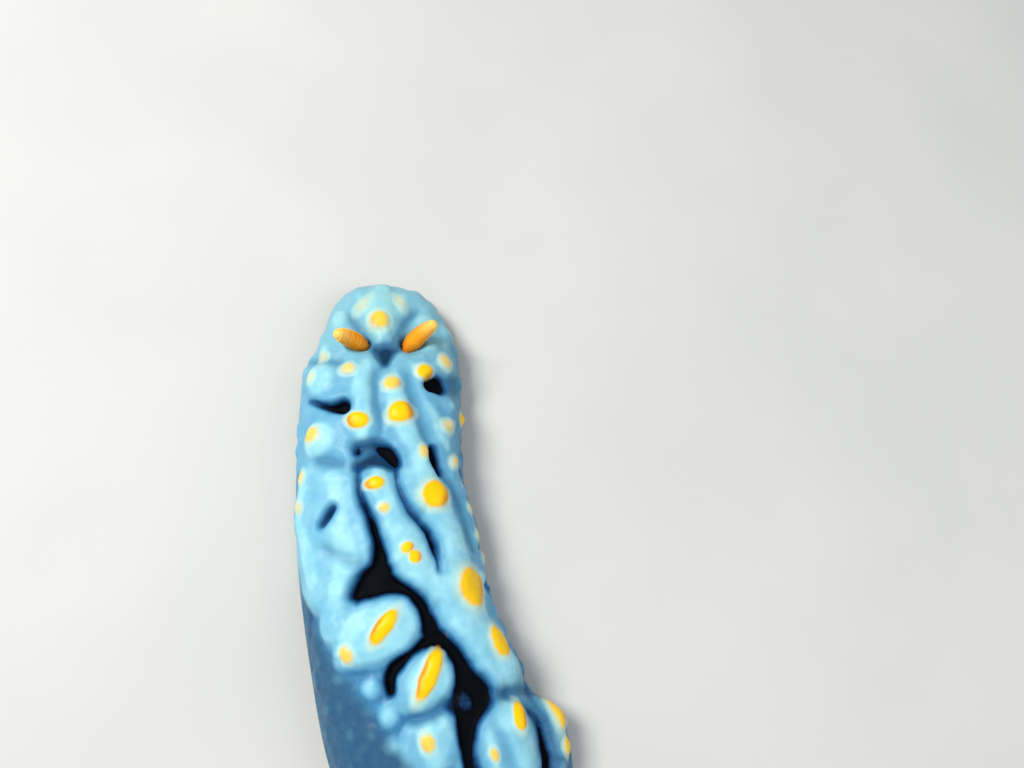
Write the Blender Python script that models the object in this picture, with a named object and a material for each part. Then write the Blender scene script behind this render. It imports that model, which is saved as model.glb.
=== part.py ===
"""A phyllidia nudibranch, life size, crawling with its body bent a little, as a still museum model.

Places on the body are given as (along, aside): the distance along the body's axis from the front of the
mantle, and the distance from the axis towards the animal's own left. The head points to -Y, the left side
to +X, and the sole of the foot lies on the plane Z = 0. All lengths are metres.
"""

import math
import random

import bmesh
import bpy
from mathutils import Matrix, Vector

# Driving dimensions of the mantle
LENGTH = 0.082
FRONT_HALF_WIDTH = 0.01105
REAR_HALF_WIDTH = 0.0143
WIDENING_START = 0.026
WIDENING_LENGTH = 0.034
LEFT_BULGE = 0.07
RIGHT_DRAW_IN = 0.04
BULGE_START = 0.040
BULGE_LENGTH = 0.025
# Where the outline draws in: (how far, start, length of the start, end, length of the end)
LEFT_HEAD_DRAW_IN = (0.00115, 0.002, 0.006, 0.010, 0.006)
RIGHT_WAIST = (0.0032, 0.035, 0.016, 0.0605, 0.006)
CREST_HEIGHT = 0.0088
MARGIN_TOP = 0.0015
MARGIN_BOTTOM = 0.0006
ROOF_HEIGHT = 0.0035
ROOF_SHARE = 0.62
ROOF_FALL = 0.34
GAP = 0.0003

# The bend of the axis: a straight head end, a smooth turn, a straight tail end
HEAD_HEADING = math.radians(-11.3)
TAIL_HEADING = math.radians(11.3)
BEND_START = 0.019
BEND_END = 0.0504

# How the outline rounds off at each end: (length of the rounding, power)
FRONT_ROUNDING = (0.017, 2.25)
REAR_ROUNDING = (0.021, 2.3)
CREST_ROUNDING = (0.030, 2.0)

# The curve of the back across the body: how square its shoulders are, and how steep its sides
SHOULDER_POWER = 2.4
SIDE_POWER = 0.7

# The foot, the head under the mantle, and the cuts that part the mantle
FOOT_SHARE = 0.60
LEAFLET_SHARES = (0.66, 0.84)
LEAFLET_PITCH = 0.0019
LEAFLET_THICKNESS = 0.0005
LEAFLET_DROP = 0.0020
LEAFLET_CLEARANCE = 0.0006
LEAFLETS_START = 0.012
LEAFLETS_END = 0.076
HEAD_START = 0.0052
HEAD_END = 0.0095
HEAD_HALF_WIDTH = 0.0034
HEAD_BOTTOM = 0.0005
MOUTH_HEIGHT = 0.0011
MOUTH_HALF_WIDTH = 0.0006
MOUTH_HALF_HEIGHT = 0.00035
MOUTH_DEPTH = 0.0009
FOOT_END = 0.0785
FOOT_FRONT = (0.008, 2.4)
FOOT_TAIL = (0.016, 2.2)
CUTS = (0.0275, 0.0570)

# Ridges and long lobes of the back: (along, aside, half width) from one end to the other
RIDGES = {
    "front_lobe": ((0.0038, 0.0009, 0.0028), (0.0066, 0.0010, 0.0031), (0.0093, 0.0010, 0.0022),
                   (0.0120, 0.0008, 0.0010)),
    "left_head": ((0.0150, 0.0025, 0.0015), (0.0180, 0.0029, 0.0021), (0.0220, 0.0029, 0.0020),
                  (0.0252, 0.0026, 0.0015)),
    "right_head": ((0.0148, -0.0030, 0.0011), (0.0162, -0.0041, 0.0015), (0.0188, -0.0043, 0.0011),
                   (0.0215, -0.0056, 0.0014), (0.0242, -0.0068, 0.0018), (0.0264, -0.0073, 0.0012)),
    "right_long": ((0.0160, -0.0010, 0.0011), (0.0182, -0.0010, 0.0017), (0.0220, -0.0018, 0.0023),
                   (0.0270, -0.0038, 0.0020), (0.0330, -0.0050, 0.0027), (0.0380, -0.0060, 0.0025),
                   (0.0425, -0.0062, 0.0025), (0.0465, -0.0050, 0.0035), (0.0500, -0.0050, 0.0034),
                   (0.0545, -0.0060, 0.0030), (0.0574, -0.0072, 0.0028)),
    "median": ((0.0298, 0.0008, 0.0015), (0.0340, 0.0006, 0.0024), (0.0380, -0.0008, 0.0026),
               (0.0420, -0.0015, 0.0026), (0.0458, -0.0024, 0.0018)),
    "left_inner": ((0.0298, 0.0058, 0.0019), (0.0330, 0.0056, 0.0020), (0.0362, 0.0056, 0.0021),
                   (0.0390, 0.0058, 0.0023), (0.0415, 0.0066, 0.0026), (0.0436, 0.0080, 0.0020)),
    "left_outer": ((0.0302, 0.0090, 0.0018), (0.0332, 0.0101, 0.0016), (0.0362, 0.0094, 0.0021),
                   (0.0400, 0.0096, 0.0020)),
    "lobe_a": ((0.0476, 0.0039, 0.0035), (0.0476, 0.0063, 0.0038), (0.0486, 0.0086, 0.0021),
               (0.0490, 0.0096, 0.0014)),
    "lobe_b": ((0.0531, 0.0008, 0.0022), (0.0545, 0.0018, 0.0031), (0.0560, 0.0029, 0.0023)),
    "lobe_c": ((0.0596, 0.0022, 0.0018), (0.0609, 0.0029, 0.0027), (0.0626, 0.0036, 0.0020)),
    "lobe_d": ((0.0622, -0.0052, 0.0018), (0.0640, -0.0058, 0.0022), (0.0680, -0.0056, 0.0021)),
    "lobe_e": ((0.0628, -0.0026, 0.0012), (0.0660, -0.0022, 0.0014), (0.0690, -0.0021, 0.0012)),
    "lobe_f": ((0.0632, -0.0101, 0.0011), (0.0655, -0.0109, 0.0016), (0.0690, -0.0105, 0.0013)),
    "left_tail": ((0.0672, 0.0052, 0.0016), (0.0700, 0.0046, 0.0021), (0.0738, 0.0032, 0.0018),
                  (0.0765, 0.0018, 0.0012)),
    "right_tail": ((0.0716, -0.0044, 0.0015), (0.0742, -0.0030, 0.0019), (0.0770, -0.0012, 0.0012)),
}

# Single lobes: (along, aside, half length, half width)
LOBES = (
    (0.0082, 0.0058, 0.0027, 0.0019), (0.0084, -0.0048, 0.0027, 0.0020), (0.0110, -0.0072, 0.0017, 0.0014),
    (0.0140, -0.0066, 0.0014, 0.0017), (0.0128, 0.0076, 0.0017, 0.0015), (0.0170, 0.0077, 0.0033, 0.0027),
    (0.0252, 0.0074, 0.0032, 0.0029), (0.0275, 0.0014, 0.0008, 0.0009), (0.0186, -0.0094, 0.0014, 0.0011),
    (0.0226, -0.0096, 0.0015, 0.0012), (0.0286, -0.0079, 0.0018, 0.0016), (0.0318, -0.0092, 0.0014, 0.0012),
    (0.0355, -0.0096, 0.0016, 0.0013), (0.0398, -0.0097, 0.0017, 0.0013), (0.0436, -0.0097, 0.0015, 0.0011),
    (0.0530, 0.0083, 0.0013, 0.0014), (0.0563, 0.0072, 0.0016, 0.0017), (0.0645, 0.0018, 0.0013, 0.0011),
    (0.0598, 0.0076, 0.0014, 0.0015), (0.0636, 0.0070, 0.0017, 0.0016), (0.0590, -0.0012, 0.0008, 0.0008),
    (0.0490, -0.0096, 0.0012, 0.0008), (0.0532, -0.0097, 0.0012, 0.0008), (0.0585, -0.0096, 0.0012, 0.0008),
    (0.0705, 0.0088, 0.0017, 0.0014), (0.0735, -0.0072, 0.0016, 0.0014), (0.0688, -0.0010, 0.0011, 0.0010),
)

# Yellow caps: (along, aside, half length, half width, turn from the axis in degrees)
CAPS = (
    (0.0092, 0.0010, 0.0015, 0.0013, 0), (0.0160, 0.0056, 0.0009, 0.0012, 0),
    (0.0180, -0.0008, 0.0010, 0.0013, 0), (0.0220, -0.0020, 0.0014, 0.0018, 20),
    (0.0230, 0.0032, 0.0010, 0.0012, 0), (0.0158, -0.0043, 0.0010, 0.0010, 0),
    (0.0138, -0.0070, 0.0008, 0.0009, 0), (0.0250, 0.0080, 0.0011, 0.0012, 0),
    (0.0236, -0.0072, 0.0009, 0.0009, 0), (0.0268, -0.0045, 0.0010, 0.0008, 0),
    (0.0333, -0.0052, 0.0017, 0.0018, 0), (0.0310, 0.0013, 0.0008, 0.0012, 0),
    (0.0340, 0.0007, 0.0007, 0.0007, 0), (0.0398, -0.0008, 0.0008, 0.0009, 0),
    (0.0414, -0.0015, 0.0009, 0.0009, 0), (0.0469, -0.0065, 0.0025, 0.0018, -8),
    (0.0542, -0.0073, 0.0017, 0.0013, -5), (0.0286, -0.0081, 0.0009, 0.0009, 0),
    (0.0478, 0.0044, 0.0022, 0.0009, -50), (0.0492, 0.0089, 0.0008, 0.0008, 0),
    (0.0543, 0.0019, 0.0025, 0.0009, -36), (0.0607, 0.0031, 0.0011, 0.0009, 0),
    (0.0642, -0.0065, 0.0015, 0.0008, 0), (0.0660, -0.0029, 0.0008, 0.0007, 0),
    (0.0648, -0.0110, 0.0013, 0.0009, -15), (0.0684, -0.0107, 0.0009, 0.0009, 0),
    (0.0700, 0.0048, 0.0015, 0.0009, 20), (0.0742, -0.0031, 0.0013, 0.0009, -25),
    (0.0705, 0.0090, 0.0009, 0.0009, 0), (0.0226, -0.0098, 0.0009, 0.0008, 0),
)

# How high the forms of the back stand
RIDGE_RISE = 0.0020
CAP_RISE = 0.0007
TUBERCLE_SIZES = (0.00055, 0.0007, 0.0009)
TUBERCLE_ROWS = ((0.94, 0.0026), (0.84, 0.0031), (0.72, 0.0036), (0.58, 0.0040))
TUBERCLE_END_ROOM = 0.0012
SEED = 7

# Rhinophores: (along, aside) of the root, then the lean: height above the floor, and the turn from straight
# ahead towards the left, in degrees
RHINOPHORES = {
    "rhinophore_left": ((0.0120, 0.0028), 41, 76),
    "rhinophore_right": ((0.0120, -0.0022), 40, -68),
}
RHINOPHORE_LENGTH = 0.0055
STALK_RADIUS = 0.0008
CLUB_RADIUS = 0.00122
TIP_RADIUS = 0.00035
LAMELLAE = 7
RHINOPHORE_ROOM = 0.0024
COLLAR_RADIUS = 0.0019
COLLAR_RISE = 0.0006
POCKET_DEPTH = 0.0016

# The anal papilla on the midline of the tail end
PAPILLA_PLACE = (0.0715, 0.0002)
PAPILLA_RADIUS = 0.0008
PAPILLA_HEIGHT = 0.0017

# Oral tentacles beside the head
TENTACLE_RADIUS = 0.00075
TENTACLE_LENGTH = 0.0025
TENTACLE_PLACE = 0.0075
TENTACLE_HEIGHT = 0.0011

# Colour, roughness of each material
LOOKS = {
    "mantle": ((0.30, 0.50, 0.72, 1.0), 0.35),
    "foot": ((0.36, 0.41, 0.44, 1.0), 0.45),
    "head": ((0.36, 0.42, 0.46, 1.0), 0.45),
    "tentacle": ((0.30, 0.34, 0.38, 1.0), 0.45),
    "rhinophore": ((0.80, 0.36, 0.03, 1.0), 0.40),
    "papilla": ((0.45, 0.55, 0.62, 1.0), 0.40),
}

AXIS_STEP = 0.0005
SINK = 0.0008
TUBERCLE_SINK = 0.0004


def clear_scene():
    for thing in list(bpy.data.objects):
        bpy.data.objects.remove(thing)


def ease(value):
    value = min(max(value, 0.0), 1.0)
    return value * value * (3.0 - 2.0 * value)


def rounding(distance, shape):
    """1 away from an end, falling to 0 at the end along a rounded curve."""
    length, power = shape
    left = min(max(1.0 - distance / length, 0.0), 1.0)
    return (1.0 - left**power) ** (1.0 / power)


def heading(along):
    turn = ease((along - BEND_START) / (BEND_END - BEND_START))
    return HEAD_HEADING + (TAIL_HEADING - HEAD_HEADING) * turn


def walk_axis():
    """Points of the body's axis, one for each step along it."""
    point = Vector((0.0, -LENGTH / 2, 0.0))
    points = [point.copy()]
    for step in range(round(LENGTH / AXIS_STEP)):
        turn = heading((step + 0.5) * AXIS_STEP)
        point += Vector((-math.sin(turn), math.cos(turn), 0.0)) * AXIS_STEP
        points.append(point.copy())
    return points


AXIS = walk_axis()


def axis_point(along):
    place = min(max(along, 0.0), LENGTH) / AXIS_STEP
    step = min(int(place), len(AXIS) - 2)
    return AXIS[step].lerp(AXIS[step + 1], place - step)


def plan(along, aside, height=0.0):
    turn = heading(along)
    outward = Vector((math.cos(turn), math.sin(turn), 0.0))
    return axis_point(along) + outward * aside + Vector((0.0, 0.0, height))


def drawn_in(along, shape):
    """How far the outline draws in here, with a soft start and a soft end."""
    depth, start, start_length, end, end_length = shape
    return depth * ease((along - start) / start_length) * (1.0 - ease((along - end) / end_length))


def half_width(along, side):
    """Half width of the mantle on the left (side above 0) or the right."""
    widening = ease((along - WIDENING_START) / WIDENING_LENGTH)
    width = FRONT_HALF_WIDTH + (REAR_HALF_WIDTH - FRONT_HALF_WIDTH) * widening
    width *= rounding(along, FRONT_ROUNDING) * rounding(LENGTH - along, REAR_ROUNDING)
    change = LEFT_BULGE if side > 0 else -RIGHT_DRAW_IN
    width *= 1.0 + change * ease((along - BULGE_START) / BULGE_LENGTH)
    return width - drawn_in(along, LEFT_HEAD_DRAW_IN if side > 0 else RIGHT_WAIST)


def crest_share(along):
    return rounding(along, CREST_ROUNDING) * rounding(LENGTH - along, CREST_ROUNDING)


def back_height(along, share):
    """Height of the bare back at this share of the half width."""
    arch = max(1.0 - abs(share) ** SHOULDER_POWER, 0.0) ** SIDE_POWER
    return MARGIN_TOP + (CREST_HEIGHT - MARGIN_TOP) * crest_share(along) * arch


def under_height(along, share):
    """Height of the mantle's underside: a flat roof over the foot that falls to the margin."""
    fall = ease((abs(share) - ROOF_SHARE) / ROOF_FALL)
    return MARGIN_BOTTOM + (ROOF_HEIGHT - MARGIN_BOTTOM) * crest_share(along) * (1.0 - fall)


def back_point(along, aside):
    share = min(abs(aside) / half_width(along, aside), 1.0)
    return plan(along, aside, back_height(along, share))


def back_frame(along, aside, turn=0.0):
    """A frame on the back: X to the left, Y to the tail, Z out of the surface, turned about Z."""
    step = AXIS_STEP
    across = back_point(along, aside + step) - back_point(along, aside - step)
    down = back_point(along + step, aside) - back_point(along - step, aside)
    out = across.cross(down).normalized()
    across.normalize()
    rows = Matrix((across, out.cross(across), out)).transposed()
    place = Matrix.Translation(back_point(along, aside)) @ rows.to_4x4()
    return place @ Matrix.Rotation(math.radians(turn), 4, "Z")


def ring(frame, radius_x, radius_y, height, sides):
    """A ring of points about a frame's Z axis."""
    turns = [2.0 * math.pi * side / sides for side in range(sides)]
    return [frame @ Vector((radius_x * math.cos(t), radius_y * math.sin(t), height)) for t in turns]


def lofted(name, rings):
    """A closed mesh object over rings of equal count. A ring of one point closes an end in a tip."""
    mesh = bmesh.new()
    loops = [[mesh.verts.new(point) for point in points] for points in rings]
    for low, high in zip(loops, loops[1:]):
        for i in range(max(len(low), len(high))):
            corners = [low[i - 1], low[i]] if len(low) > 1 else [low[0]]
            corners += [high[i], high[i - 1]] if len(high) > 1 else [high[0]]
            mesh.faces.new(corners)
    for loop in (loops[0], loops[-1]):
        if len(loop) > 1:
            mesh.faces.new(loop)
    bmesh.ops.triangulate(mesh, faces=mesh.faces)
    bmesh.ops.recalc_face_normals(mesh, faces=mesh.faces)
    if mesh.calc_volume(signed=True) < 0.0:
        bmesh.ops.reverse_faces(mesh, faces=mesh.faces)
    data = bpy.data.meshes.new(name)
    mesh.to_mesh(data)
    mesh.free()
    piece = bpy.data.objects.new(name, data)
    bpy.context.scene.collection.objects.link(piece)
    return piece


def finish(piece, look):
    """The piece's own material, smooth shading and edges kept sharp where they are steep."""
    colour, roughness = LOOKS[look]
    material = bpy.data.materials.new(piece.name)
    material.use_nodes = True
    shader = material.node_tree.nodes["Principled BSDF"]
    shader.inputs["Base Color"].default_value = colour
    shader.inputs["Roughness"].default_value = roughness
    shader.inputs["Metallic"].default_value = 0.0
    piece.data.materials.clear()
    piece.data.materials.append(material)
    piece.data.shade_smooth()
    piece.data.set_sharp_from_angle(angle=math.radians(50))
    return piece


def combine(base, pieces, operation):
    """One Boolean of the base with all the pieces, applied, and the pieces removed."""
    group = bpy.data.collections.new("combine")
    for piece in pieces:
        group.objects.link(piece)
    change = base.modifiers.new(operation.lower(), "BOOLEAN")
    change.operation = operation
    change.solver = "MANIFOLD"
    change.operand_type = "COLLECTION"
    change.collection = group
    bpy.context.view_layer.update()
    graph = bpy.context.evaluated_depsgraph_get()
    result = bpy.data.meshes.new_from_object(base.evaluated_get(graph))
    base.modifiers.clear()
    base.data = result
    for piece in pieces:
        bpy.data.objects.remove(piece)
    bpy.data.collections.remove(group)
    return base


def closed_surfaces(piece):
    """The piece's separate closed surfaces, each as a list of face numbers, largest volume first."""
    mesh = bmesh.new()
    mesh.from_mesh(piece.data)
    unseen = set(mesh.faces)
    found = []
    while unseen:
        edge_of = [unseen.pop()]
        island = []
        while edge_of:
            face = edge_of.pop()
            island.append(face)
            near = {other for edge in face.edges for other in edge.link_faces} & unseen
            unseen -= near
            edge_of.extend(near)
        volume = sum(f.calc_area() * f.normal.dot(f.calc_center_median()) for f in island)
        found.append((abs(volume), [face.index for face in island]))
    mesh.free()
    return [faces for _, faces in sorted(found, key=lambda pair: -pair[0])]


def extract(piece, name, faces):
    """A new object with only these faces of the piece."""
    kept = set(faces)
    mesh = bmesh.new()
    mesh.from_mesh(piece.data)
    others = [face for face in mesh.faces if face.index not in kept]
    bmesh.ops.delete(mesh, geom=others, context="FACES")
    data = bpy.data.meshes.new(name)
    mesh.to_mesh(data)
    mesh.free()
    part = bpy.data.objects.new(name, data)
    bpy.context.scene.collection.objects.link(part)
    return part


def section(along, shares, heights):
    """A ring across the body through shares of the half width, at heights given by functions."""
    points = []
    for share, height in zip(shares, heights):
        aside = share * half_width(along, share)
        points.append(plan(along, aside, height))
    return points


def stations(start, end, count):
    """Distances along the body, set closer towards both ends."""
    middle, reach = (start + end) / 2, (end - start) / 2
    return [middle - reach * math.cos(math.pi * step / (count - 1)) for step in range(count)]


def mantle_body():
    """The bare mantle: an arched back, a thin margin and a roof over the foot."""
    back = [math.sin(math.radians(angle)) for angle in range(-90, 91, 12)]
    falling = [ROOF_SHARE + ROOF_FALL * step / 4 for step in range(5)]
    under = falling[::-1] + [0.0] + [-share for share in falling]
    tip = 0.00003
    rings = []
    for along in stations(tip, LENGTH - tip, 44):
        heights = [back_height(along, share) for share in back]
        heights += [under_height(along, share) for share in under]
        rings.append(section(along, back + under, heights))
    return lofted("mantle", rings)


def along_curve(points, spacing):
    """Points of a smooth curve through the given ones, about this far apart."""
    curve = []
    for i in range(len(points) - 1):
        before, start = Vector(points[max(i - 1, 0)]), Vector(points[i])
        end, after = Vector(points[i + 1]), Vector(points[min(i + 2, len(points) - 1)])
        steps = max(round((end - start).length / spacing), 1)
        for step in range(steps):
            t = step / steps
            pull = (end - before) * (t - 2 * t * t + t**3) / 2 + (after - start) * (t**3 - t * t) / 2
            curve.append(start * (1 - 3 * t * t + 2 * t**3) + end * (3 * t * t - 2 * t**3) + pull)
    curve.append(Vector(points[-1]))
    return curve


def rise_of(width):
    return min(RIDGE_RISE, 0.85 * width)


def ridge_ring(frame, width, rise, sides):
    """A section across a ridge: this half width and rise above the skin, and a shallow root under it."""
    tall = rise + SINK
    spread = width / math.sqrt(1.0 - (SINK / tall) ** 2)
    points = []
    for side in range(sides):
        turn = 2.0 * math.pi * (side + 0.5) / sides
        reach = tall if math.sin(turn) > 0.0 else SINK
        points.append(frame @ Vector((spread * math.cos(turn), 0.0, reach * math.sin(turn) - SINK)))
    return points


def ridge(name, points, spacing, sides):
    """A rounded ridge along the back, with round ends."""
    curve = along_curve(points, spacing)
    end_angles = [math.radians(angle) for angle in (70, 40)]
    stops = [(curve[0], curve[0] - curve[1], angle) for angle in end_angles]
    stops += [(point, after - before, 0.0) for before, point, after in
              zip(curve[:1] + curve[:-1], curve, curve[1:] + curve[-1:])]
    stops += [(curve[-1], curve[-1] - curve[-2], angle) for angle in reversed(end_angles)]
    rings = []
    for number, (point, way, angle) in enumerate(stops):
        way = Vector((way.x, way.y)).normalized()
        past, share = math.sin(angle) * point.z, math.cos(angle)
        along, aside = point.x + way.x * past, point.y + way.y * past
        if number < len(end_angles):
            way = -way
        frame = back_frame(along, aside, -math.degrees(math.atan2(way.y, way.x)))
        rings.append(ridge_ring(frame, point.z * share, rise_of(point.z) * share, sides))
    return lofted(name, rings)


def relief(along, aside):
    """How far the ridges and lobes lift the skin here."""
    lift = 0.0
    for points in FORMS:
        for point in points:
            away = math.hypot(along - point.x, aside - point.y) / (1.15 * point.z)
            if away < 1.0:
                lift = max(lift, rise_of(point.z) * math.sqrt(1.0 - away * away))
    return lift


def room(along, aside):
    """Free distance to the nearest ridge or lobe."""
    return min(
        math.hypot(along - point.x, aside - point.y) - point.z for points in FORMS for point in points
    )


def dome(name, frame, half_along, half_aside, rise, sides, levels, sink=SINK):
    """A rounded bump on the skin, its root sunk below it."""
    tall = rise + sink
    rings = []
    for level in levels:
        angle = math.radians(level)
        share, height = math.cos(angle), tall * math.sin(angle) - sink
        rings.append(ring(frame, half_aside * share, half_along * share, height, sides))
    rings.append([frame @ Vector((0.0, 0.0, rise))])
    return lofted(name, rings)


FORMS = [along_curve(points, 0.001) for points in RIDGES.values()]
FORMS += [[Vector((along, aside, min(long, wide)))] for along, aside, long, wide in LOBES]


def back_forms():
    """Ridges, lobes and yellow caps."""
    pieces = [ridge(name, points, 0.0028, 10) for name, points in RIDGES.items()]
    for along, aside, long, wide in LOBES:
        frame = back_frame(along, aside)
        pieces.append(dome("lobe", frame, long, wide, rise_of(min(long, wide)), 8, (-20, 15, 50)))
    for along, aside, half_along, half_aside, turn in CAPS:
        lift = relief(along, aside)
        frame = back_frame(along, aside, turn) @ Matrix.Translation((0.0, 0.0, lift))
        pieces.append(dome("cap", frame, half_along, half_aside, CAP_RISE, 8, (-25, 15, 50)))
    return pieces


def clear_of_rhinophores(point, distance):
    for place, lift, turn in RHINOPHORES.values():
        frame = lean_frame(place, lift, turn)
        root, axis = frame.translation, frame.col[2].to_3d()
        reach = min(max((point - root).dot(axis), 0.0), RHINOPHORE_LENGTH)
        if (point - root - axis * reach).length < distance:
            return False
    return True


def clear_of_cuts(along, half_length):
    return min(abs(along - cut) for cut in CUTS) > half_length + 2 * GAP


def tubercles():
    """Small tubercles in rows along both sides, wherever no ridge or lobe stands."""
    draw = random.Random(SEED)
    pieces = []
    for share, pitch in TUBERCLE_ROWS:
        for side in (1, -1):
            along = pitch * draw.uniform(0.3, 1.3)
            while along < LENGTH - TUBERCLE_END_ROOM:
                size = draw.choice(TUBERCLE_SIZES)
                aside = side * draw.uniform(share - 0.03, share + 0.03) * half_width(along, side)
                free = room(along, aside) > 0.3 * size and clear_of_cuts(along, size)
                if free and clear_of_rhinophores(back_point(along, aside), RHINOPHORE_ROOM):
                    frame = back_frame(along, aside)
                    pieces.append(dome("tubercle", frame, size, size, size, 6, (-15, 48), TUBERCLE_SINK))
                along += pitch * draw.uniform(0.75, 1.25)
    return pieces


def leaflet(along, side, droop):
    """One thin upright leaf across the groove, rooted in the mantle's underside."""
    inner, outer = (share * half_width(along, side) for share in LEAFLET_SHARES)
    roof, edge = (under_height(along, share) for share in LEAFLET_SHARES)
    drop = min(roof - LEAFLET_CLEARANCE, LEAFLET_DROP) * droop
    belly = inner + 0.45 * (outer - inner)
    profile = ((inner, roof + SINK), (outer, edge + SINK), (outer, edge - GAP), (belly, roof - drop),
               (inner + GAP, roof - 0.85 * drop))
    half = LEAFLET_THICKNESS / 2
    return lofted("leaflet", [
        [plan(along + shift, side * aside, height) for aside, height in profile] for shift in (-half, half)
    ])


def gill_leaflets():
    """The gills: leaflets that hang in the groove between the foot and the margin, on both sides."""
    draw = random.Random(SEED + 1)
    pieces = []
    for side in (1, -1):
        along = LEAFLETS_START
        while along < LEAFLETS_END:
            droop = draw.uniform(0.8, 1.0)
            if clear_of_cuts(along, LEAFLET_THICKNESS / 2):
                pieces.append(leaflet(along, side, droop))
            along += LEAFLET_PITCH * draw.uniform(0.9, 1.1)
    return pieces


def lean_frame(place, lift, turn):
    """A frame on the skin whose Z axis leans out at the given height and turn."""
    flat = math.cos(math.radians(lift))
    ahead = math.radians(turn)
    axis = Vector((flat * math.sin(ahead), -flat * math.cos(ahead), math.sin(math.radians(lift))))
    across = Vector((0.0, 0.0, 1.0)).cross(axis).normalized()
    rows = Matrix((across, axis.cross(across), axis)).transposed()
    return Matrix.Translation(back_point(*place)) @ rows.to_4x4()


def rhinophore(name):
    """A stalk with a leafed club on it, its root standing in a pocket of the mantle."""
    frame = lean_frame(*RHINOPHORES[name])
    club_start, club_end = 0.32 * RHINOPHORE_LENGTH, 0.94 * RHINOPHORE_LENGTH
    levels = [(STALK_RADIUS, GAP - POCKET_DEPTH), (STALK_RADIUS, club_start - 0.0002)]
    pitch = (club_end - club_start) / LAMELLAE
    for leaf in range(LAMELLAE):
        radius = CLUB_RADIUS * (1.0 - 0.55 * ((leaf + 0.5) / LAMELLAE) ** 1.8)
        low = club_start + leaf * pitch
        levels += [(0.80 * radius, low), (radius, low + 0.35 * pitch), (radius, low + 0.65 * pitch)]
    levels.append((TIP_RADIUS, RHINOPHORE_LENGTH - 0.0001))
    rings = [ring(frame, radius, radius, height, 10) for radius, height in levels]
    rings.append([frame @ Vector((0.0, 0.0, RHINOPHORE_LENGTH))])
    return finish(lofted(name, rings), "rhinophore")


def pocket(frame, radius):
    """A cutter for a round pocket with the gap all round what stands in it."""
    wide = radius + GAP
    ends = (-POCKET_DEPTH, 2.5 * POCKET_DEPTH)
    return lofted("pocket", [ring(frame, wide, wide, height, 16) for height in ends])


def papilla():
    frame = back_frame(*PAPILLA_PLACE)
    base = PAPILLA_RADIUS
    levels = ((base, GAP - POCKET_DEPTH), (base, 0.3 * PAPILLA_HEIGHT), (0.85 * base, 0.75 * PAPILLA_HEIGHT),
              (0.55 * base, PAPILLA_HEIGHT))
    rings = [ring(frame, radius, radius, height, 12) for radius, height in levels]
    return finish(lofted("anal_papilla", rings), "papilla")


def slab(along):
    """A cutter as thin as the gap, across the whole body."""
    wide, low, high = 2 * REAR_HALF_WIDTH, -CREST_HEIGHT, 3 * CREST_HEIGHT
    turn = heading(along)
    ahead = Vector((-math.sin(turn), math.cos(turn), 0.0)) * GAP / 2
    corners = [plan(along, aside, height) for aside, height in
               ((-wide, low), (wide, low), (wide, high), (-wide, high))]
    return lofted("slab", [[point - ahead for point in corners], [point + ahead for point in corners]])


def mantle_parts():
    """The mantle modelled whole, then parted into three lengths by thin cuts."""
    mantle = mantle_body()
    collars = []
    for place, lift, turn in RHINOPHORES.values():
        frame = back_frame(*place)
        collars.append(dome("collar", frame, COLLAR_RADIUS, COLLAR_RADIUS, COLLAR_RISE, 10, (-20, 20, 50)))
    combine(mantle, back_forms() + tubercles() + collars + gill_leaflets(), "UNION")
    cutters = [slab(cut) for cut in CUTS]
    cutters += [pocket(lean_frame(*lean), STALK_RADIUS) for lean in RHINOPHORES.values()]
    cutters.append(pocket(back_frame(*PAPILLA_PLACE), PAPILLA_RADIUS))
    combine(mantle, cutters, "DIFFERENCE")
    largest = closed_surfaces(mantle)[: len(CUTS) + 1]
    parts = [extract(mantle, "mantle", faces) for faces in largest]
    parts.sort(key=lambda part: sum(corner[1] for corner in part.bound_box))
    bpy.data.objects.remove(mantle)
    for part, name in zip(parts, ("mantle_front", "mantle_middle", "mantle_rear")):
        part.name = name
        finish(part, "mantle")


def foot():
    """The crawling foot: a flat sole with rounded edges and a narrower waist, under the mantle's roof."""
    right = ((0.90, 0.0), (1.0, 0.22), (0.90, 0.55), (0.94, 1.0))
    shape = ((0.0, 0.0),) + right + ((0.0, 1.0),) + tuple((-share, level) for share, level in right[::-1])
    start = HEAD_END + GAP
    rings = []
    for along in stations(start, FOOT_END, 30):
        ends = rounding(along - start + 0.0012, FOOT_FRONT) * rounding(FOOT_END - along + 0.0003, FOOT_TAIL)
        top = under_height(along, 0.0) - GAP
        reach = ends * FOOT_SHARE
        rings.append([
            plan(along, share * reach * half_width(along, share), top * level) for share, level in shape
        ])
    return finish(lofted("foot", rings), "foot")


def head_section(along, width):
    """A rounded square section of the head's bulb."""
    low, top = HEAD_BOTTOM, under_height(along, 0.0) - GAP
    points = []
    for side in range(16):
        angle = 2.0 * math.pi * side / 16
        x, z = (math.copysign(abs(value) ** 0.6, value) for value in (math.cos(angle), math.sin(angle)))
        points.append(plan(along, width * x, (low + top + (top - low) * z) / 2))
    return points


def head():
    """The head's bulb under the front of the mantle, with the pore of the mouth in its face."""
    swell = ((0.0, 0.62), (0.08, 0.85), (0.25, 1.0), (0.5, 1.0), (0.75, 1.0), (1.0, 1.0))
    bulb = lofted("head", [
        head_section(HEAD_START + share * (HEAD_END - HEAD_START), HEAD_HALF_WIDTH * width)
        for share, width in swell
    ])
    face = Matrix.Translation(plan(HEAD_START, 0.0, MOUTH_HEIGHT))
    face = face @ Matrix.Rotation(heading(HEAD_START), 4, "Z") @ Matrix.Rotation(math.pi / 2, 4, "X")
    ends = (-MOUTH_DEPTH, MOUTH_DEPTH)
    pore = lofted("mouth", [ring(face, MOUTH_HALF_WIDTH, MOUTH_HALF_HEIGHT, depth, 10) for depth in ends])
    combine(bulb, [pore], "DIFFERENCE")
    return finish(bulb, "head")


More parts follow.
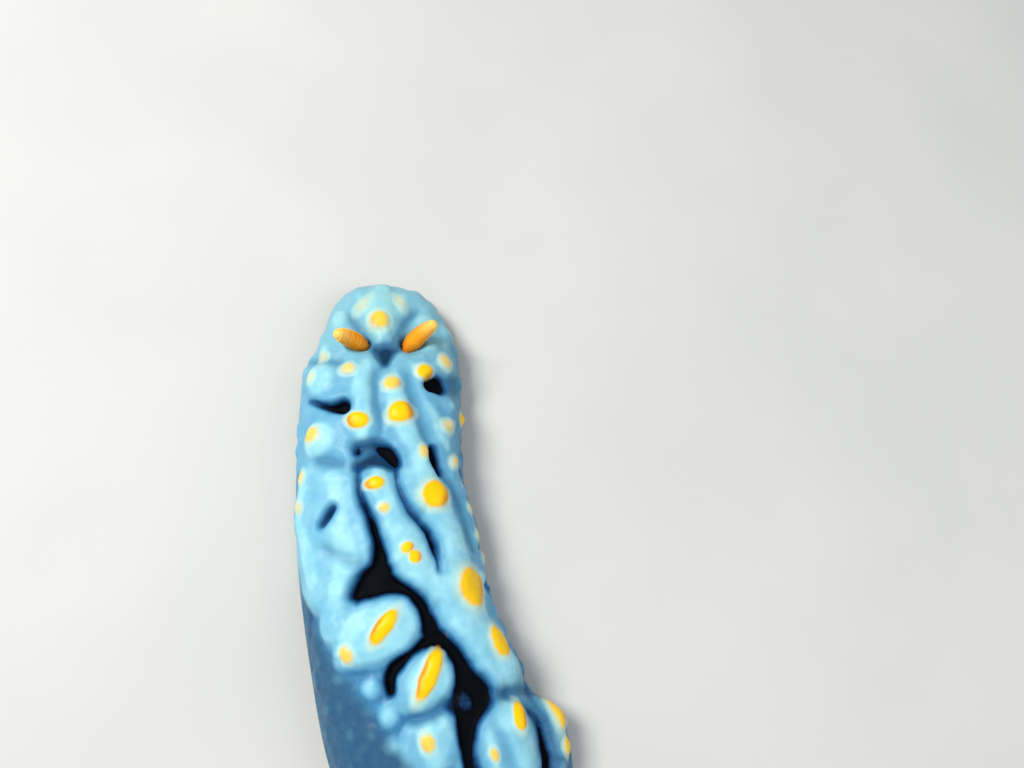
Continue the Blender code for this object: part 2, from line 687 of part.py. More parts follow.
def oral_tentacle(name, side):
    """A short feeler that starts at the head's side and bends out and forward."""
    stops = ((0.0, 0.0, 1.0), (0.35, 0.10, 1.0), (0.72, 0.34, 0.75), (0.95, 0.58, 0.45))
    rings = []
    for out, forward, share in stops:
        along = TENTACLE_PLACE - forward * TENTACLE_LENGTH
        aside = side * (HEAD_HALF_WIDTH + GAP + out * TENTACLE_LENGTH)
        turn = heading(along) - side * math.atan2(forward, max(out, 0.1))
        frame = Matrix.Translation(plan(along, aside, TENTACLE_HEIGHT)) @ Matrix.Rotation(turn, 4, "Z")
        frame = frame @ Matrix.Rotation(math.pi / 2, 4, "Y")
        rings.append(ring(frame, TENTACLE_RADIUS * share, TENTACLE_RADIUS * share, 0.0, 10))
    return finish(lofted(name, rings), "tentacle")


def stand_on_origin():
    """Moves every piece so that the origin lies under the middle of the whole, on the floor."""
    corners = [Vector(corner) for piece in bpy.data.objects for corner in piece.bound_box]
    low = Vector([min(corner[i] for corner in corners) for i in range(3)])
    high = Vector([max(corner[i] for corner in corners) for i in range(3)])
    middle = (low + high) / 2
    for piece in bpy.data.objects:
        piece.data.transform(Matrix.Translation((-middle.x, -middle.y, -low.z)))


clear_scene()
mantle_parts()
foot()
head()
oral_tentacle("oral_tentacle_left", 1)
oral_tentacle("oral_tentacle_right", -1)
for feeler in RHINOPHORES:
    rhinophore(feeler)
papilla()
stand_on_origin()
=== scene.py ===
# %% [markdown]
# # A life-size museum model of a phyllidia nudibranch
# This sea slug is about 82 mm long. Its back carries broad blue ridges with yellow caps and
# black grooves between them. A museum shows it as a painted cast, so the model is still.
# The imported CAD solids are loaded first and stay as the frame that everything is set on.
# The size of their box is kept, because the finished model has to fill the same box.

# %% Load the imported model
import math
import random

import bmesh
import bpy
import numpy as np
from mathutils import Matrix, Vector


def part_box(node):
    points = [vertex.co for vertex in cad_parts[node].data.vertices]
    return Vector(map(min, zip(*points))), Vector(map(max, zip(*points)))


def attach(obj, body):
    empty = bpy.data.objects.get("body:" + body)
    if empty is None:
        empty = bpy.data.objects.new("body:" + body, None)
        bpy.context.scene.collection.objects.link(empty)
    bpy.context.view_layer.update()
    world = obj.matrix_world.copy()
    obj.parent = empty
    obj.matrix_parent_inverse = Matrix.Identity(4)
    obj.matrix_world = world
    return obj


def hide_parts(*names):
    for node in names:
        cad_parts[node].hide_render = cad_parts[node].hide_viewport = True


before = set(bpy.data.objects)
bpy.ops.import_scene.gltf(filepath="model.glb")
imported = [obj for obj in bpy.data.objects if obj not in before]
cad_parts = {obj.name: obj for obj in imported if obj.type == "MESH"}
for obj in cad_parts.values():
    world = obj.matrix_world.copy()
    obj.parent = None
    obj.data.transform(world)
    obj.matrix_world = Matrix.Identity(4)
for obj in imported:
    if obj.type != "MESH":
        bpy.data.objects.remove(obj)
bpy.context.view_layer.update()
print("nodes:", sorted(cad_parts))

# %% [markdown]
# ## Places on the body
# The animal crawls in a shallow curve, so a place on it is easier to say along the body than in
# X and Y. All tables below give two numbers in millimetres: how far along the body's axis from
# the front of the mantle, and how far from that axis towards the animal's own left. The axis
# is straight at the head, turns smoothly in the middle and is straight again at the tail.
# Blender works in metres, so the millimetres are scaled once, when a mesh gets its places.

# %% The bent axis of the body
MM = 0.001
LENGTH = 82.0
HEADING = math.radians(11.3)
BEND_START, BEND_END = 19.0, 50.4
AXIS_STEP = 0.5


def ease(value):
    """0 to 1 with soft ends."""
    value = np.clip(value, 0.0, 1.0)
    return value * value * (3.0 - 2.0 * value)


def heading(along):
    return HEADING * (2.0 * ease((along - BEND_START) / (BEND_END - BEND_START)) - 1.0)


axis_along = np.arange(round(LENGTH / AXIS_STEP) + 1) * AXIS_STEP
step_turns = heading(axis_along[:-1] + AXIS_STEP / 2)
axis_x = np.concatenate([[0.0], np.cumsum(-np.sin(step_turns) * AXIS_STEP)])
axis_y = np.concatenate([[0.0], np.cumsum(np.cos(step_turns) * AXIS_STEP)]) - LENGTH / 2


def plan(along, aside):
    """X and Y of a place on the body, in millimetres."""
    turn = heading(along)
    x = np.interp(along, axis_along, axis_x) + aside * np.cos(turn)
    y = np.interp(along, axis_along, axis_y) + aside * np.sin(turn)
    return x, y


print("axis ends at", axis_x[-1].round(2), axis_y[-1].round(2))

# %% The outline and the bare back
# The half width at the front, what it gains, and where and over what length it gains it
FRONT_WIDTH, WIDTH_GAIN, GAIN_START, GAIN_LENGTH = 11.05, 3.25, 26.0, 34.0
# How long each rounded end is, and how square
FRONT_END, TAIL_END, CREST_END = (17.0, 2.25), (21.0, 2.3), (30.0, 2.0)
# Where the outline draws in: how far, start, length of the start, end, length of the end
LEFT_HEAD_DRAW_IN = (1.15, 2.0, 6.0, 10.0, 6.0)
RIGHT_WAIST = (3.2, 35.0, 16.0, 60.5, 6.0)


def rounding(distance, length, power):
    """1 away from an end of the body, falling to 0 at it along a rounded curve."""
    left = np.clip(1.0 - distance / length, 0.0, 1.0)
    return (1.0 - left**power) ** (1.0 / power)


def drawn_in(along, shape):
    depth, start, start_length, end, end_length = shape
    return depth * ease((along - start) / start_length) * (1.0 - ease((along - end) / end_length))


def half_width(along, side):
    """Half width of the mantle on the left (side above 0) or the right."""
    left = np.asarray(side) > 0
    width = FRONT_WIDTH + WIDTH_GAIN * ease((along - GAIN_START) / GAIN_LENGTH)
    width = width * rounding(along, *FRONT_END) * rounding(LENGTH - along, *TAIL_END)
    width = width * (1.0 + np.where(left, 0.07, -0.04) * ease((along - 40.0) / 25.0))
    return width - np.where(left, drawn_in(along, LEFT_HEAD_DRAW_IN), drawn_in(along, RIGHT_WAIST))


def crest_share(along):
    return rounding(along, *CREST_END) * rounding(LENGTH - along, *CREST_END)


MARGIN_TOP, MARGIN_LOW, CREST, ROOF = 1.5, 0.6, 8.8, 3.5


def back_height(along, share):
    arch = np.maximum(1.0 - np.abs(share) ** 2.4, 0.0) ** 0.7
    return MARGIN_TOP + (CREST - MARGIN_TOP) * crest_share(along) * arch


def roof_height(along, share):
    """The mantle's underside: a flat roof over the foot that falls to the margin."""
    fall = ease((np.abs(share) - 0.62) / 0.34)
    return MARGIN_LOW + (ROOF - MARGIN_LOW) * crest_share(along) * (1.0 - fall)


def on_back(along, aside):
    """Points on the bare back, in millimetres."""
    along, aside = np.asarray(along, float), np.asarray(aside, float)
    share = np.clip(aside / np.maximum(half_width(along, aside), 1e-6), -1.0, 1.0)
    x, y = plan(along, aside)
    return np.stack([x, y, back_height(along, share)], axis=-1)


print("half widths at 40 mm:", half_width(40.0, 1).round(2), half_width(40.0, -1).round(2))

# %% [markdown]
# ## Fitting the places to the frame
# The CAD file moves its solids so that the origin lies under the middle of the whole model.
# The foot has a plain outline, so its box says how large that move was: the same outline is
# worked out here, and the difference between the two boxes is the move.

# %% Find the move from the foot's box
FOOT_START, FOOT_END, FOOT_SHARE = 9.8, 78.5, 0.60


def foot_share(along):
    """The foot's half width as a share of the mantle's."""
    front = rounding(along - FOOT_START + 1.2, 8.0, 2.4)
    return FOOT_SHARE * front * rounding(FOOT_END - along + 0.3, 16.0, 2.2)


middle, reach = (FOOT_START + FOOT_END) / 2, (FOOT_END - FOOT_START) / 2
stops = middle - reach * np.cos(np.pi * np.arange(30) / 29)


def foot_edge(side):
    return np.stack(plan(stops, side * foot_share(stops) * half_width(stops, side)))


outline = np.concatenate([foot_edge(1), foot_edge(-1)], axis=1)
foot_low, foot_high = (np.array(corner[:2]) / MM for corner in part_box("foot"))
MOVE = (foot_low + foot_high - outline.min(axis=1) - outline.max(axis=1)) / 2
left_over = foot_low - outline.min(axis=1) - MOVE
print("the move in mm:", MOVE.round(3), "left over:", left_over.round(4))


def to_metres(points):
    """Body points in millimetres as places in the frame."""
    return (np.asarray(points, float) + [MOVE[0], MOVE[1], 0.0]) * MM


# %% [markdown]
# ## The camera
# The photograph looks down on the back from above the tail end, a little from the animal's
# left, so the head is at the top of the picture. The camera stands about 11 cm above the floor.
# Its place and its turn come from matching the outline of the body to the photograph.

# %% Set the camera
CAMERA_POINT = (15.886, 10.196, 108.821)
CAMERA_RIGHT = Vector((-0.95504, 0.20430, 0.21484))
CAMERA_UP = Vector((-0.12542, -0.93503, 0.33163))
SENSOR_WIDTH, LENS = 36.0, 28.125

bpy.ops.object.camera_add(location=to_metres(CAMERA_POINT))
camera = bpy.context.object
camera.name = "photo_camera"
turned = Matrix((CAMERA_RIGHT, CAMERA_UP, CAMERA_RIGHT.cross(CAMERA_UP))).transposed()
camera.rotation_euler = turned.to_euler()
camera.data.sensor_width = SENSOR_WIDTH
camera.data.lens = LENS
camera.data.clip_start = 0.001
camera.data.clip_end = 20.0
bpy.context.scene.camera = camera
print("camera at", [round(value, 4) for value in camera.location])

# %% [markdown]
# ## The forms of the back
# A sculptor would first mark the long ridges, then the single lobes, then the caps on top.
# The tables do the same. A ridge is a row of places with a half width at each. A lobe is an
# oval with its half length and half width. The black channels are rows of places as well,
# and everything that comes near them is cut back.

# %% Ridges, from one end of each to the other
RIDGES = {
    "front_lobe": ((3.6, 0.9, 2.0), (5.6, 1.0, 2.5), (8.4, 1.0, 2.5), (10.2, 0.95, 1.7),
        (11.9, 0.8, 0.9)),
    "front_left": ((9.6, 1.9, 0.8), (7.6, 2.7, 1.2), (5.6, 3.4, 1.3), (3.9, 3.8, 1.0)),
    "front_right": ((9.2, -0.2, 0.8), (7.0, -0.9, 1.2), (5.0, -1.6, 1.3), (3.2, -2.1, 1.0)),
    "left_head": ((15.0, 2.5, 1.5), (18.0, 2.9, 2.1), (22.0, 2.9, 2.0), (25.2, 2.6, 1.5)),
    "right_head": ((14.8, -3.0, 1.1), (16.2, -4.1, 1.5), (18.8, -4.3, 1.1), (21.5, -5.6, 1.4),
        (24.2, -6.8, 1.8), (26.4, -7.3, 1.2)),
    "right_long": ((16.0, -1.0, 1.1), (18.2, -1.0, 1.7), (22.0, -1.8, 2.3), (27.0, -3.8, 2.0),
        (33.0, -5.0, 2.7), (38.0, -6.0, 2.5), (42.5, -6.2, 2.5), (46.5, -5.0, 3.5),
        (50.0, -5.0, 3.5), (54.5, -6.0, 3.1), (57.4, -7.2, 2.9)),
    "median": ((30.2, 0.9, 1.8), (32.0, 0.75, 2.2), (35.5, -0.1, 2.2), (38.7, -1.0, 2.7),
        (42.0, -1.2, 2.9), (45.8, -2.4, 2.1)),
    "left_inner": ((29.8, 5.8, 1.9), (33.0, 5.6, 2.0), (36.2, 5.6, 2.1), (39.0, 5.8, 2.3),
        (41.5, 6.6, 2.6), (43.6, 8.0, 2.0)),
    "left_outer": ((30.2, 9.0, 1.8), (33.2, 10.1, 1.6), (36.2, 9.4, 2.1), (40.0, 9.6, 2.0)),
    "lobe_a": ((47.5, 3.7, 3.85), (47.6, 6.2, 3.9), (48.6, 8.6, 2.2), (49.0, 9.6, 1.4)),
    "lobe_b": ((53.8, 0.9, 2.5), (55.0, 1.7, 3.3), (56.2, 2.6, 2.6)),
    "lobe_c": ((59.6, 2.3, 1.9), (60.9, 3.1, 2.8), (62.8, 3.8, 2.1)),
    "lobe_d": ((60.8, -4.9, 1.9), (62.4, -5.2, 2.3), (64.0, -5.8, 2.3), (68.0, -5.6, 2.1)),
    "lobe_e": ((62.6, -2.6, 1.3), (66.0, -2.1, 1.6), (69.0, -2.1, 1.3)),
    "lobe_f": ((63.2, -10.1, 1.1), (65.5, -10.9, 1.6), (69.0, -10.5, 1.3)),
    "left_tail": ((67.2, 5.2, 1.6), (70.0, 4.6, 2.1), (73.8, 3.2, 1.8), (76.5, 1.8, 1.2)),
    "right_tail": ((71.6, -4.4, 1.5), (74.2, -3.0, 1.9), (77.0, -1.2, 1.2)),
}

# %% Single lobes: along, aside, half length, half width
LOBES = (
    (8.2, 5.8, 2.7, 1.9), (8.4, -4.8, 2.7, 2.0), (11.0, -7.2, 1.7, 1.4), (14.0, -6.6, 1.4, 1.7),
    (12.8, 7.6, 1.7, 1.5), (17.0, 7.7, 3.3, 2.7), (25.2, 7.4, 3.2, 2.9), (18.6, -9.4, 1.4, 1.1),
    (22.6, -9.6, 1.5, 1.2), (28.6, -7.9, 1.8, 1.6), (31.8, -9.2, 1.4, 1.2), (35.5, -9.6, 1.6, 1.3),
    (39.8, -9.7, 1.7, 1.3), (43.6, -9.7, 1.5, 1.1), (53.1, 7.7, 1.5, 1.5), (56.5, 6.9, 1.8, 1.6),
    (64.5, 1.8, 1.3, 1.1), (59.8, 7.6, 1.4, 1.5), (63.6, 7.0, 1.7, 1.6), (49.0, -9.6, 1.2, 0.8),
    (53.2, -9.7, 1.2, 0.8), (58.5, -9.6, 1.2, 0.8), (70.5, 8.8, 1.7, 1.4), (73.5, -7.2, 1.6, 1.4),
    (68.8, -1.0, 1.1, 1.0),
)

# %% Yellow caps: along, aside, half length, half width, turn in degrees, strength of the yellow
CAPS = (
    (8.8, 1.1, 1.35, 1.3, 0, 0.7), (16.1, 4.6, 0.85, 1.05, 0, 0.5),
    (18.1, -0.7, 1.1, 1.15, 0, 0.65), (22.1, -1.8, 1.3, 1.65, 38, 1.0),
    (23.1, 3.1, 1.05, 1.25, 0, 1.0), (15.7, -4.6, 1.05, 1.15, 0, 0.85),
    (13.5, -7.3, 1.1, 1.0, 0, 0.5), (24.6, 7.9, 1.15, 1.1, 0, 0.6), (23.0, -7.5, 1.0, 1.0, 0, 0.4),
    (27.2, -4.4, 1.05, 0.75, 0, 0.55), (33.5, -5.2, 1.8, 1.75, 0, 1.0),
    (31.3, 1.4, 0.85, 1.15, 0, 0.95), (34.3, 0.8, 0.7, 0.7, 0, 0.55),
    (39.7, -0.8, 0.8, 0.78, 0, 0.85), (41.1, -1.4, 0.85, 0.7, 0, 0.85),
    (46.8, -6.5, 2.55, 2.0, -8, 1.0), (54.2, -7.2, 1.8, 1.45, -5, 1.0),
    (28.3, -8.3, 1.0, 1.0, 0, 0.45), (47.4, 4.1, 2.2, 0.95, -52, 1.0),
    (48.6, 8.5, 1.1, 0.75, 0, 0.6), (54.2, 1.3, 3.1, 1.0, -44, 1.0), (60.9, 4.0, 1.1, 0.8, 0, 0.65),
    (63.0, -6.3, 1.7, 0.85, -14, 1.0), (65.2, -2.3, 0.9, 0.5, 0, 0.6),
    (65.1, -11.3, 1.9, 1.1, -15, 0.75), (68.9, -11.2, 1.3, 1.0, 0, 0.75),
    (70.0, 4.8, 1.7, 1.1, 20, 1.0), (74.2, -3.1, 1.5, 1.0, -25, 1.0), (70.5, 9.0, 1.0, 1.0, 0, 0.9),
    (20.6, -10.2, 1.0, 0.8, 0, 0.8), (16.8, 8.6, 0.9, 0.8, 0, 0.25), (14.0, 7.6, 0.8, 0.8, 0, 0.25),
    (29.0, 9.4, 1.0, 0.9, 0, 0.5), (32.2, 9.7, 0.8, 0.8, 0, 0.35), (35.5, -9.9, 0.8, 0.7, 0, 0.4),
    (39.7, -10.3, 1.0, 0.8, 0, 0.5), (43.5, -10.3, 1.0, 0.8, 0, 0.5),
    (6.2, 3.2, 1.7, 0.8, -20, 0.12), (5.4, -1.4, 1.6, 0.7, 20, 0.18),
)

# %% Shallow ground between the forms: along, aside, half length, half width, level
FILLS = (
    (13.0, 0.5, 14.5, 14.0, 0.7), (25.0, 1.0, 8.0, 13.0, 0.7), (36.0, 7.6, 11.0, 7.6, 0.9),
    (38.0, -7.5, 13.0, 5.0, 0.7), (45.0, -4.3, 4.5, 3.2, 1.0), (47.3, 5.0, 4.8, 6.2, 0.8),
    (54.6, 2.4, 4.4, 4.8, 0.8), (61.5, 3.8, 4.2, 4.4, 0.75), (65.0, -4.3, 6.0, 4.2, 0.75),
    (54.0, -8.0, 11.0, 4.0, 0.6), (56.0, 10.5, 15.0, 7.0, 0.45), (67.0, -10.5, 7.0, 4.0, 0.45),
    (69.0, 6.0, 8.0, 6.0, 0.45), (72.0, -2.0, 7.0, 4.0, 0.4), (76.0, 0.0, 9.5, 12.5, 0.42),
    (45.4, 9.2, 3.2, 2.6, 0.95), (33.0, -3.0, 5.0, 2.6, 1.0), (58.4, -4.6, 4.5, 2.8, 0.95),
    (59.0, -8.0, 3.0, 3.0, 0.8),
)

# %% Black channels: along, aside, half width
CHANNELS = {
    "right_spot": ((17.2, -5.7, 0.95), (17.2, -6.5, 1.25)),
    "left_wedge": ((19.9, 8.9, 0.02), (20.7, 7.4, 0.22), (21.2, 6.2, 0.45), (21.2, 5.1, 0.85)),
    "centre_spot": ((26.7, 0.7, 0.4), (27.3, -0.2, 0.8), (28.1, -0.9, 0.7), (28.8, -1.4, 0.3)),
    "centre_dot": ((26.5, 3.1, 0.25), (27.0, 3.1, 0.3)),
    "right_slit": ((26.6, -5.6, 0.32), (28.5, -5.9, 0.5), (30.2, -6.4, 0.25)),
    "left_slit": ((33.2, 6.1, 0.05), (34.0, 6.8, 0.17), (34.8, 7.5, 0.08)),
    "median_left": ((28.6, 3.1, 0.05), (30.5, 3.2, 0.0), (32.0, 3.1, 0.05), (33.7, 2.85, 0.15),
        (35.5, 2.4, 0.28), (37.4, 2.15, 0.38), (38.7, 2.15, 0.5), (40.0, 2.35, 0.75),
        (41.3, 2.75, 0.95), (43.0, 2.15, 0.95), (45.3, 0.55, 0.9)),
    "triangle": ((41.4, 2.7, 1.3), (41.9, 3.8, 1.3), (42.6, 4.7, 1.15), (43.0, 5.5, 0.75),
        (43.2, 6.1, 0.3)),
    "lobe_a_rim": ((43.5, 5.6, 0.5), (43.6, 4.4, 1.1), (43.9, 3.0, 1.2), (45.0, 1.6, 1.0),
        (46.4, 0.3, 1.0), (48.2, -0.2, 0.7)),
    "median_right": ((28.8, -1.3, 0.15), (30.7, -1.3, 0.0), (33.5, -1.7, 0.0), (34.7, -2.1, 0.04),
        (36.0, -2.65, 0.08), (37.3, -3.25, 0.14), (38.5, -3.65, 0.2), (39.8, -3.9, 0.24),
        (41.0, -4.0, 0.15), (42.3, -3.9, -0.05), (43.4, -3.6, -0.2)),
    "main": ((45.3, 0.55, 0.9), (46.5, -0.2, 0.9), (48.4, -0.5, 0.9), (49.8, -0.6, 0.9),
        (51.0, -1.0, 0.9), (52.7, -1.95, 0.65), (54.1, -2.25, 0.75), (55.8, -2.3, 1.1),
        (57.3, -2.3, 1.6), (58.6, -2.5, 2.1), (59.5, -1.7, 1.8), (60.6, -1.1, 1.35),
        (62.0, -0.5, 1.0), (63.5, 0.1, 0.75), (65.2, 0.6, 0.55), (68.0, 0.9, 0.6), (71.5, 0.7, 0.9),
        (75.5, 0.2, 0.6), (77.5, 0.0, 0.3)),
    "crescent": ((50.9, 0.5, 0.7), (51.5, 2.4, 0.5), (52.0, 4.2, 0.6), (52.8, 5.3, 0.6),
        (54.4, 5.9, 0.42)),
    "right_tail": ((63.6, -8.6, 0.0), (65.0, -8.7, 0.25), (66.5, -8.5, 0.35), (69.0, -8.2, 0.5),
        (72.0, -6.2, 0.45), (75.0, -4.2, 0.4), (77.6, -2.2, 0.25)),
    "left_tail": ((63.8, 7.2, 0.35), (67.0, 8.0, 0.5), (70.5, 7.2, 0.5), (74.0, 5.2, 0.45),
        (77.0, 3.0, 0.3)),
}

# %% Deep blue grooves, their own blue deepened with painted shade: strength, then along, aside, half width
GROOVES = {
    "head_centre": (1.8, ((13.0, 0.3, 0.6), (13.6, 0.2, 0.65), (14.8, 0.15, 0.35))),
    "head_spread": (1.5, ((12.6, 1.7, 0.4), (13.0, 0.9, 0.5), (13.1, 0.0, 0.5), (12.5, -1.2, 0.4))),
    "head_left": (0.65, ((12.6, 1.8, 0.4), (10.6, 3.2, 0.4), (8.6, 4.2, 0.3), (7.0, 4.9, 0.1))),
    "head_right": (0.75, ((12.3, -0.9, 0.5), (10.6, -1.5, 0.45), (8.6, -2.3, 0.4), (6.8, -3.3, 0.3),
        (5.8, -4.1, 0.1))),
    "neck": (0.55, ((15.2, 0.1, 0.35), (16.8, 1.5, 0.3), (18.1, 1.4, 0.32), (20.0, 1.1, 0.34),
        (21.6, 0.7, 0.36), (25.0, 0.5, 0.25))),
    "neck_right": (0.5, ((16.4, -2.6, 0.3), (18.2, -2.8, 0.38), (20.4, -3.6, 0.38),
        (23.2, -4.4, 0.38), (26.0, -5.4, 0.3))),
    "centre_front": (1.7, ((26.4, 3.3, 0.35), (26.2, 2.2, 0.3), (26.2, 1.0, 0.36),
        (26.8, 0.2, 0.45))),
    "centre_middle": (1.4, ((27.4, 3.2, 0.2), (27.2, 2.2, 0.2), (27.3, 1.2, 0.3))),
    "centre_rear": (2.1, ((28.8, 3.2, 0.32), (28.4, 2.3, 0.32), (28.2, 1.3, 0.36),
        (28.4, 0.2, 0.45), (28.9, -0.8, 0.4))),
    "right_margin": (1.0, ((16.9, -7.4, 0.8), (16.4, -8.8, 0.9))),
    "left_shoulder": (0.7, ((28.4, 4.8, 0.25), (28.1, 6.0, 0.45), (27.7, 7.6, 0.35))),
    "left_fold": (0.5, ((37.4, 7.5, 0.4), (38.8, 5.9, 0.5), (40.3, 4.4, 0.4))),
    "left_front": (0.6, ((15.0, 5.6, 0.3), (14.6, 7.4, 0.4), (13.8, 9.6, 0.3))),
    "right_side": (0.6, ((30.4, -6.7, 0.4), (33.0, -7.9, 0.45), (37.0, -8.5, 0.45),
        (42.0, -8.7, 0.35))),
    "lobe_bc": (0.9, ((58.2, 0.6, 0.35), (58.6, 2.2, 0.3), (58.2, 4.6, 0.35))),
    "lobe_de": (0.3, ((63.5, -3.6, 0.25), (66.0, -3.8, 0.3), (68.5, -3.8, 0.25))),
    "long_end": (1.0, ((59.2, -4.2, 0.3), (59.8, -5.6, 0.4), (60.4, -7.2, 0.4), (61.4, -9.2, 0.4))),
}
for title, table in (("ridges", RIDGES), ("lobes", LOBES), ("caps", CAPS), ("channels", CHANNELS)):
    print(len(table), title)

# %% [markdown]
# ## Measuring how deep a point lies inside a form
# To raise the skin where a ridge runs, every point of it needs one number: how far inside the
# ridge's outline it lies. That number is above 0 inside and below 0 outside. Sculpting tools
# could pull the ridges up by hand, but a distance is exact, gives the same result every time,
# and can be kept on the mesh to place the paint as well.

# %% Smooth rows of places, and the distance to them
def smooth_row(places, spacing):
    """A Catmull-Rom curve through the places, cut about this far apart."""
    places = np.array(places, float)
    padded = np.concatenate([places[:1], places, places[-1:]])
    curve = []
    for before, start, end, after in zip(padded, padded[1:], padded[2:], padded[3:]):
        count = max(round(float(np.linalg.norm(end - start)) / spacing), 1)
        t = (np.arange(count) / count)[:, None]
        pull = (end - before) * (t - 2 * t * t + t**3) / 2 + (after - start) * (t**3 - t * t) / 2
        curve.append(start * (1 - 3 * t * t + 2 * t**3) + end * (3 * t * t - 2 * t**3) + pull)
    curve.append(places[-1:])
    return np.concatenate(curve)


def inside_row(points, row):
    """Depth of the points inside a row of (along, aside, half width), and the half width there."""
    centres, widths = on_back(row[:, 0], row[:, 1]), row[:, 2]
    best = np.full(points.shape[:-1], -99.0)
    width = np.full(points.shape[:-1], 1.0)
    for start, end, wide_start, wide_end in zip(centres, centres[1:], widths, widths[1:]):
        way = end - start
        share = np.clip((points - start) @ way / (way @ way), 0.0, 1.0)
        wide = wide_start + (wide_end - wide_start) * share
        depth = wide - np.linalg.norm(points - start - share[..., None] * way, axis=-1)
        width = np.where(depth > best, wide, width)
        best = np.maximum(best, depth)
    return best, width


rows = {name: smooth_row(places, 1.0) for name, places in RIDGES.items()}
channel_rows = {name: smooth_row(places, 0.6) for name, places in CHANNELS.items()}
groove_rows = [smooth_row(places, 1.0) for _, places in GROOVES.values()]
print("ridge pieces:", sum(len(row) - 1 for row in rows.values()))

# %% The distance to an oval
def back_directions(along, aside):
    """Unit vectors on the bare back: towards the left, towards the tail and out of it."""
    gap = 0.25
    left = on_back(along, aside + gap) - on_back(along, aside - gap)
    tail = on_back(along + gap, aside) - on_back(along - gap, aside)
    out = np.cross(left, tail)
    left, out = left / np.linalg.norm(left), out / np.linalg.norm(out)
    return left, np.cross(out, left), out


def oval_place(points, along, aside, half_long, half_wide, turn=0.0):
    """The points seen from an oval: 0 at its middle and 1 at its rim, sideways and lengthways."""
    left, tail, out = back_directions(along, aside)
    turn = math.radians(turn)
    across = math.cos(turn) * left + math.sin(turn) * tail
    down = math.cos(turn) * tail - math.sin(turn) * left
    away = points - on_back(along, aside)
    return away @ across / half_wide, away @ down / half_long, away @ out


def inside_oval(points, along, aside, half_long, half_wide):
    sideways, lengthways, height = oval_place(points, along, aside, half_long, half_wide)
    small = min(half_long, half_wide)
    return small * (1.0 - np.sqrt(sideways**2 + lengthways**2 + (height / small / 3) ** 2)), small


# %% [markdown]
# ## The first shape of the skin
# The whole soft body is one closed skin, so that no seam shows between back, margin and foot.
# A sphere already has the right build for it: rings that close in a pole at each end. One
# pole becomes the front of the mantle and the other the tail. The rings are set closer where
# the outline turns fast, and each ring is laid round the body as a cross-section.

# %% Where each ring stands along the body
BACK_STEPS, UNDER_STEPS, RINGS = 180, 42, 444
AROUND = BACK_STEPS + UNDER_STEPS

fine_along = LENGTH * (1.0 - np.cos(np.linspace(0.0, np.pi, 4001))) / 2
fine_width = half_width(fine_along, 1)
travel = np.hypot(np.diff(fine_along), 0.35 * np.diff(fine_width))
travelled = np.concatenate([[0.0], np.cumsum(travel)])
ring_along = np.interp(np.linspace(0.0, travelled[-1], RINGS + 1), travelled, fine_along)[1:-1]
print(len(ring_along), "rings, widest gap", np.diff(ring_along).max().round(3), "mm")

# %% Cross-section of the back, in even steps from the right margin to the left
def back_section(along):
    """Asides of the back's points on one ring."""
    share = np.sin(np.linspace(-np.pi / 2, np.pi / 2, 601))
    aside = share * half_width(along, share)
    steps = np.hypot(np.diff(aside), np.diff(back_height(along, share)))
    length = np.concatenate([[0.0], np.cumsum(steps)])
    even = np.linspace(0.0, length[-1], BACK_STEPS + 1)
    return np.interp(even, length, aside), np.minimum(even, length[-1] - even)


sections = [back_section(along) for along in ring_along]
back_aside = np.stack([aside for aside, _ in sections])
from_margin = np.stack([distance for _, distance in sections])
back_along = np.repeat(ring_along[:, None], BACK_STEPS + 1, axis=1)
bare = on_back(back_along, back_aside)
from_edge = np.minimum(from_margin, 1.3 * np.minimum(back_along, LENGTH - back_along))
print("back points:", bare.shape[:2], "step across:", from_margin[220, 1].round(3))

# %% Cross-section of the underside: lip, roof, side of the foot and sole
# Side of the foot, from the roof down: share of the foot's half width and of the roof's height
FOOT_WALL = (
    (0.92, 0.82), (0.9, 0.6), (0.925, 0.42), (0.985, 0.27), (1.0, 0.16), (0.975, 0.05), (0.9, 0.0),
)


def under_side(along, side):
    """Points from one margin to the middle of the sole, as asides and heights."""
    width = float(half_width(along, side))
    inset = min(0.35, 0.3 * width)
    foot = max(float(foot_share(along)), 0.036) * width
    sunk = ease((along - FOOT_START + 0.5) / 0.5) * ease((FOOT_END + 0.3 - along) / 0.6)
    points = [(width, 1.2), (width - 0.25 * inset, 0.85), (width - inset, MARGIN_LOW)]
    for share in np.arange(1, 8) / 7:
        aside = (width - inset) + (0.94 * foot - width + inset) * share
        points.append((aside, float(roof_height(along, aside / width))))
    roof = points[-1][1]
    low = roof * (1.0 - sunk)
    points += [(foot * wide, low + (roof - low) * level) for wide, level in FOOT_WALL]
    points += [(0.9 * foot * (1.0 - share), low) for share in np.arange(1, 4) / 4]
    return [(side * aside, height) for aside, height in points]


under = np.array([
    under_side(along, 1) + [(0.0, under_side(along, 1)[-1][1])] + under_side(along, -1)[::-1]
    for along in ring_along
])
under_along = np.repeat(ring_along[:, None], under.shape[1], axis=1)
under_x, under_y = plan(under_along, under[..., 0])
underside = np.stack([under_x, under_y, under[..., 1]], axis=-1)
print("underside points per ring:", underside.shape[1], "of", UNDER_STEPS - 1)

# %% [markdown]
# ## Raising the ridges
# Each form lifts the skin along its own outward direction, most in its middle and steeply at
# its edge, like a pillow. Where two forms nearly touch, the groove between them stays
# shallow, and where they stand apart it reaches the bare back. The outlines are shaken a
# little first, because nothing on a living animal has a drawn edge.

# %% Shake the places a little
shake = random.Random(11)


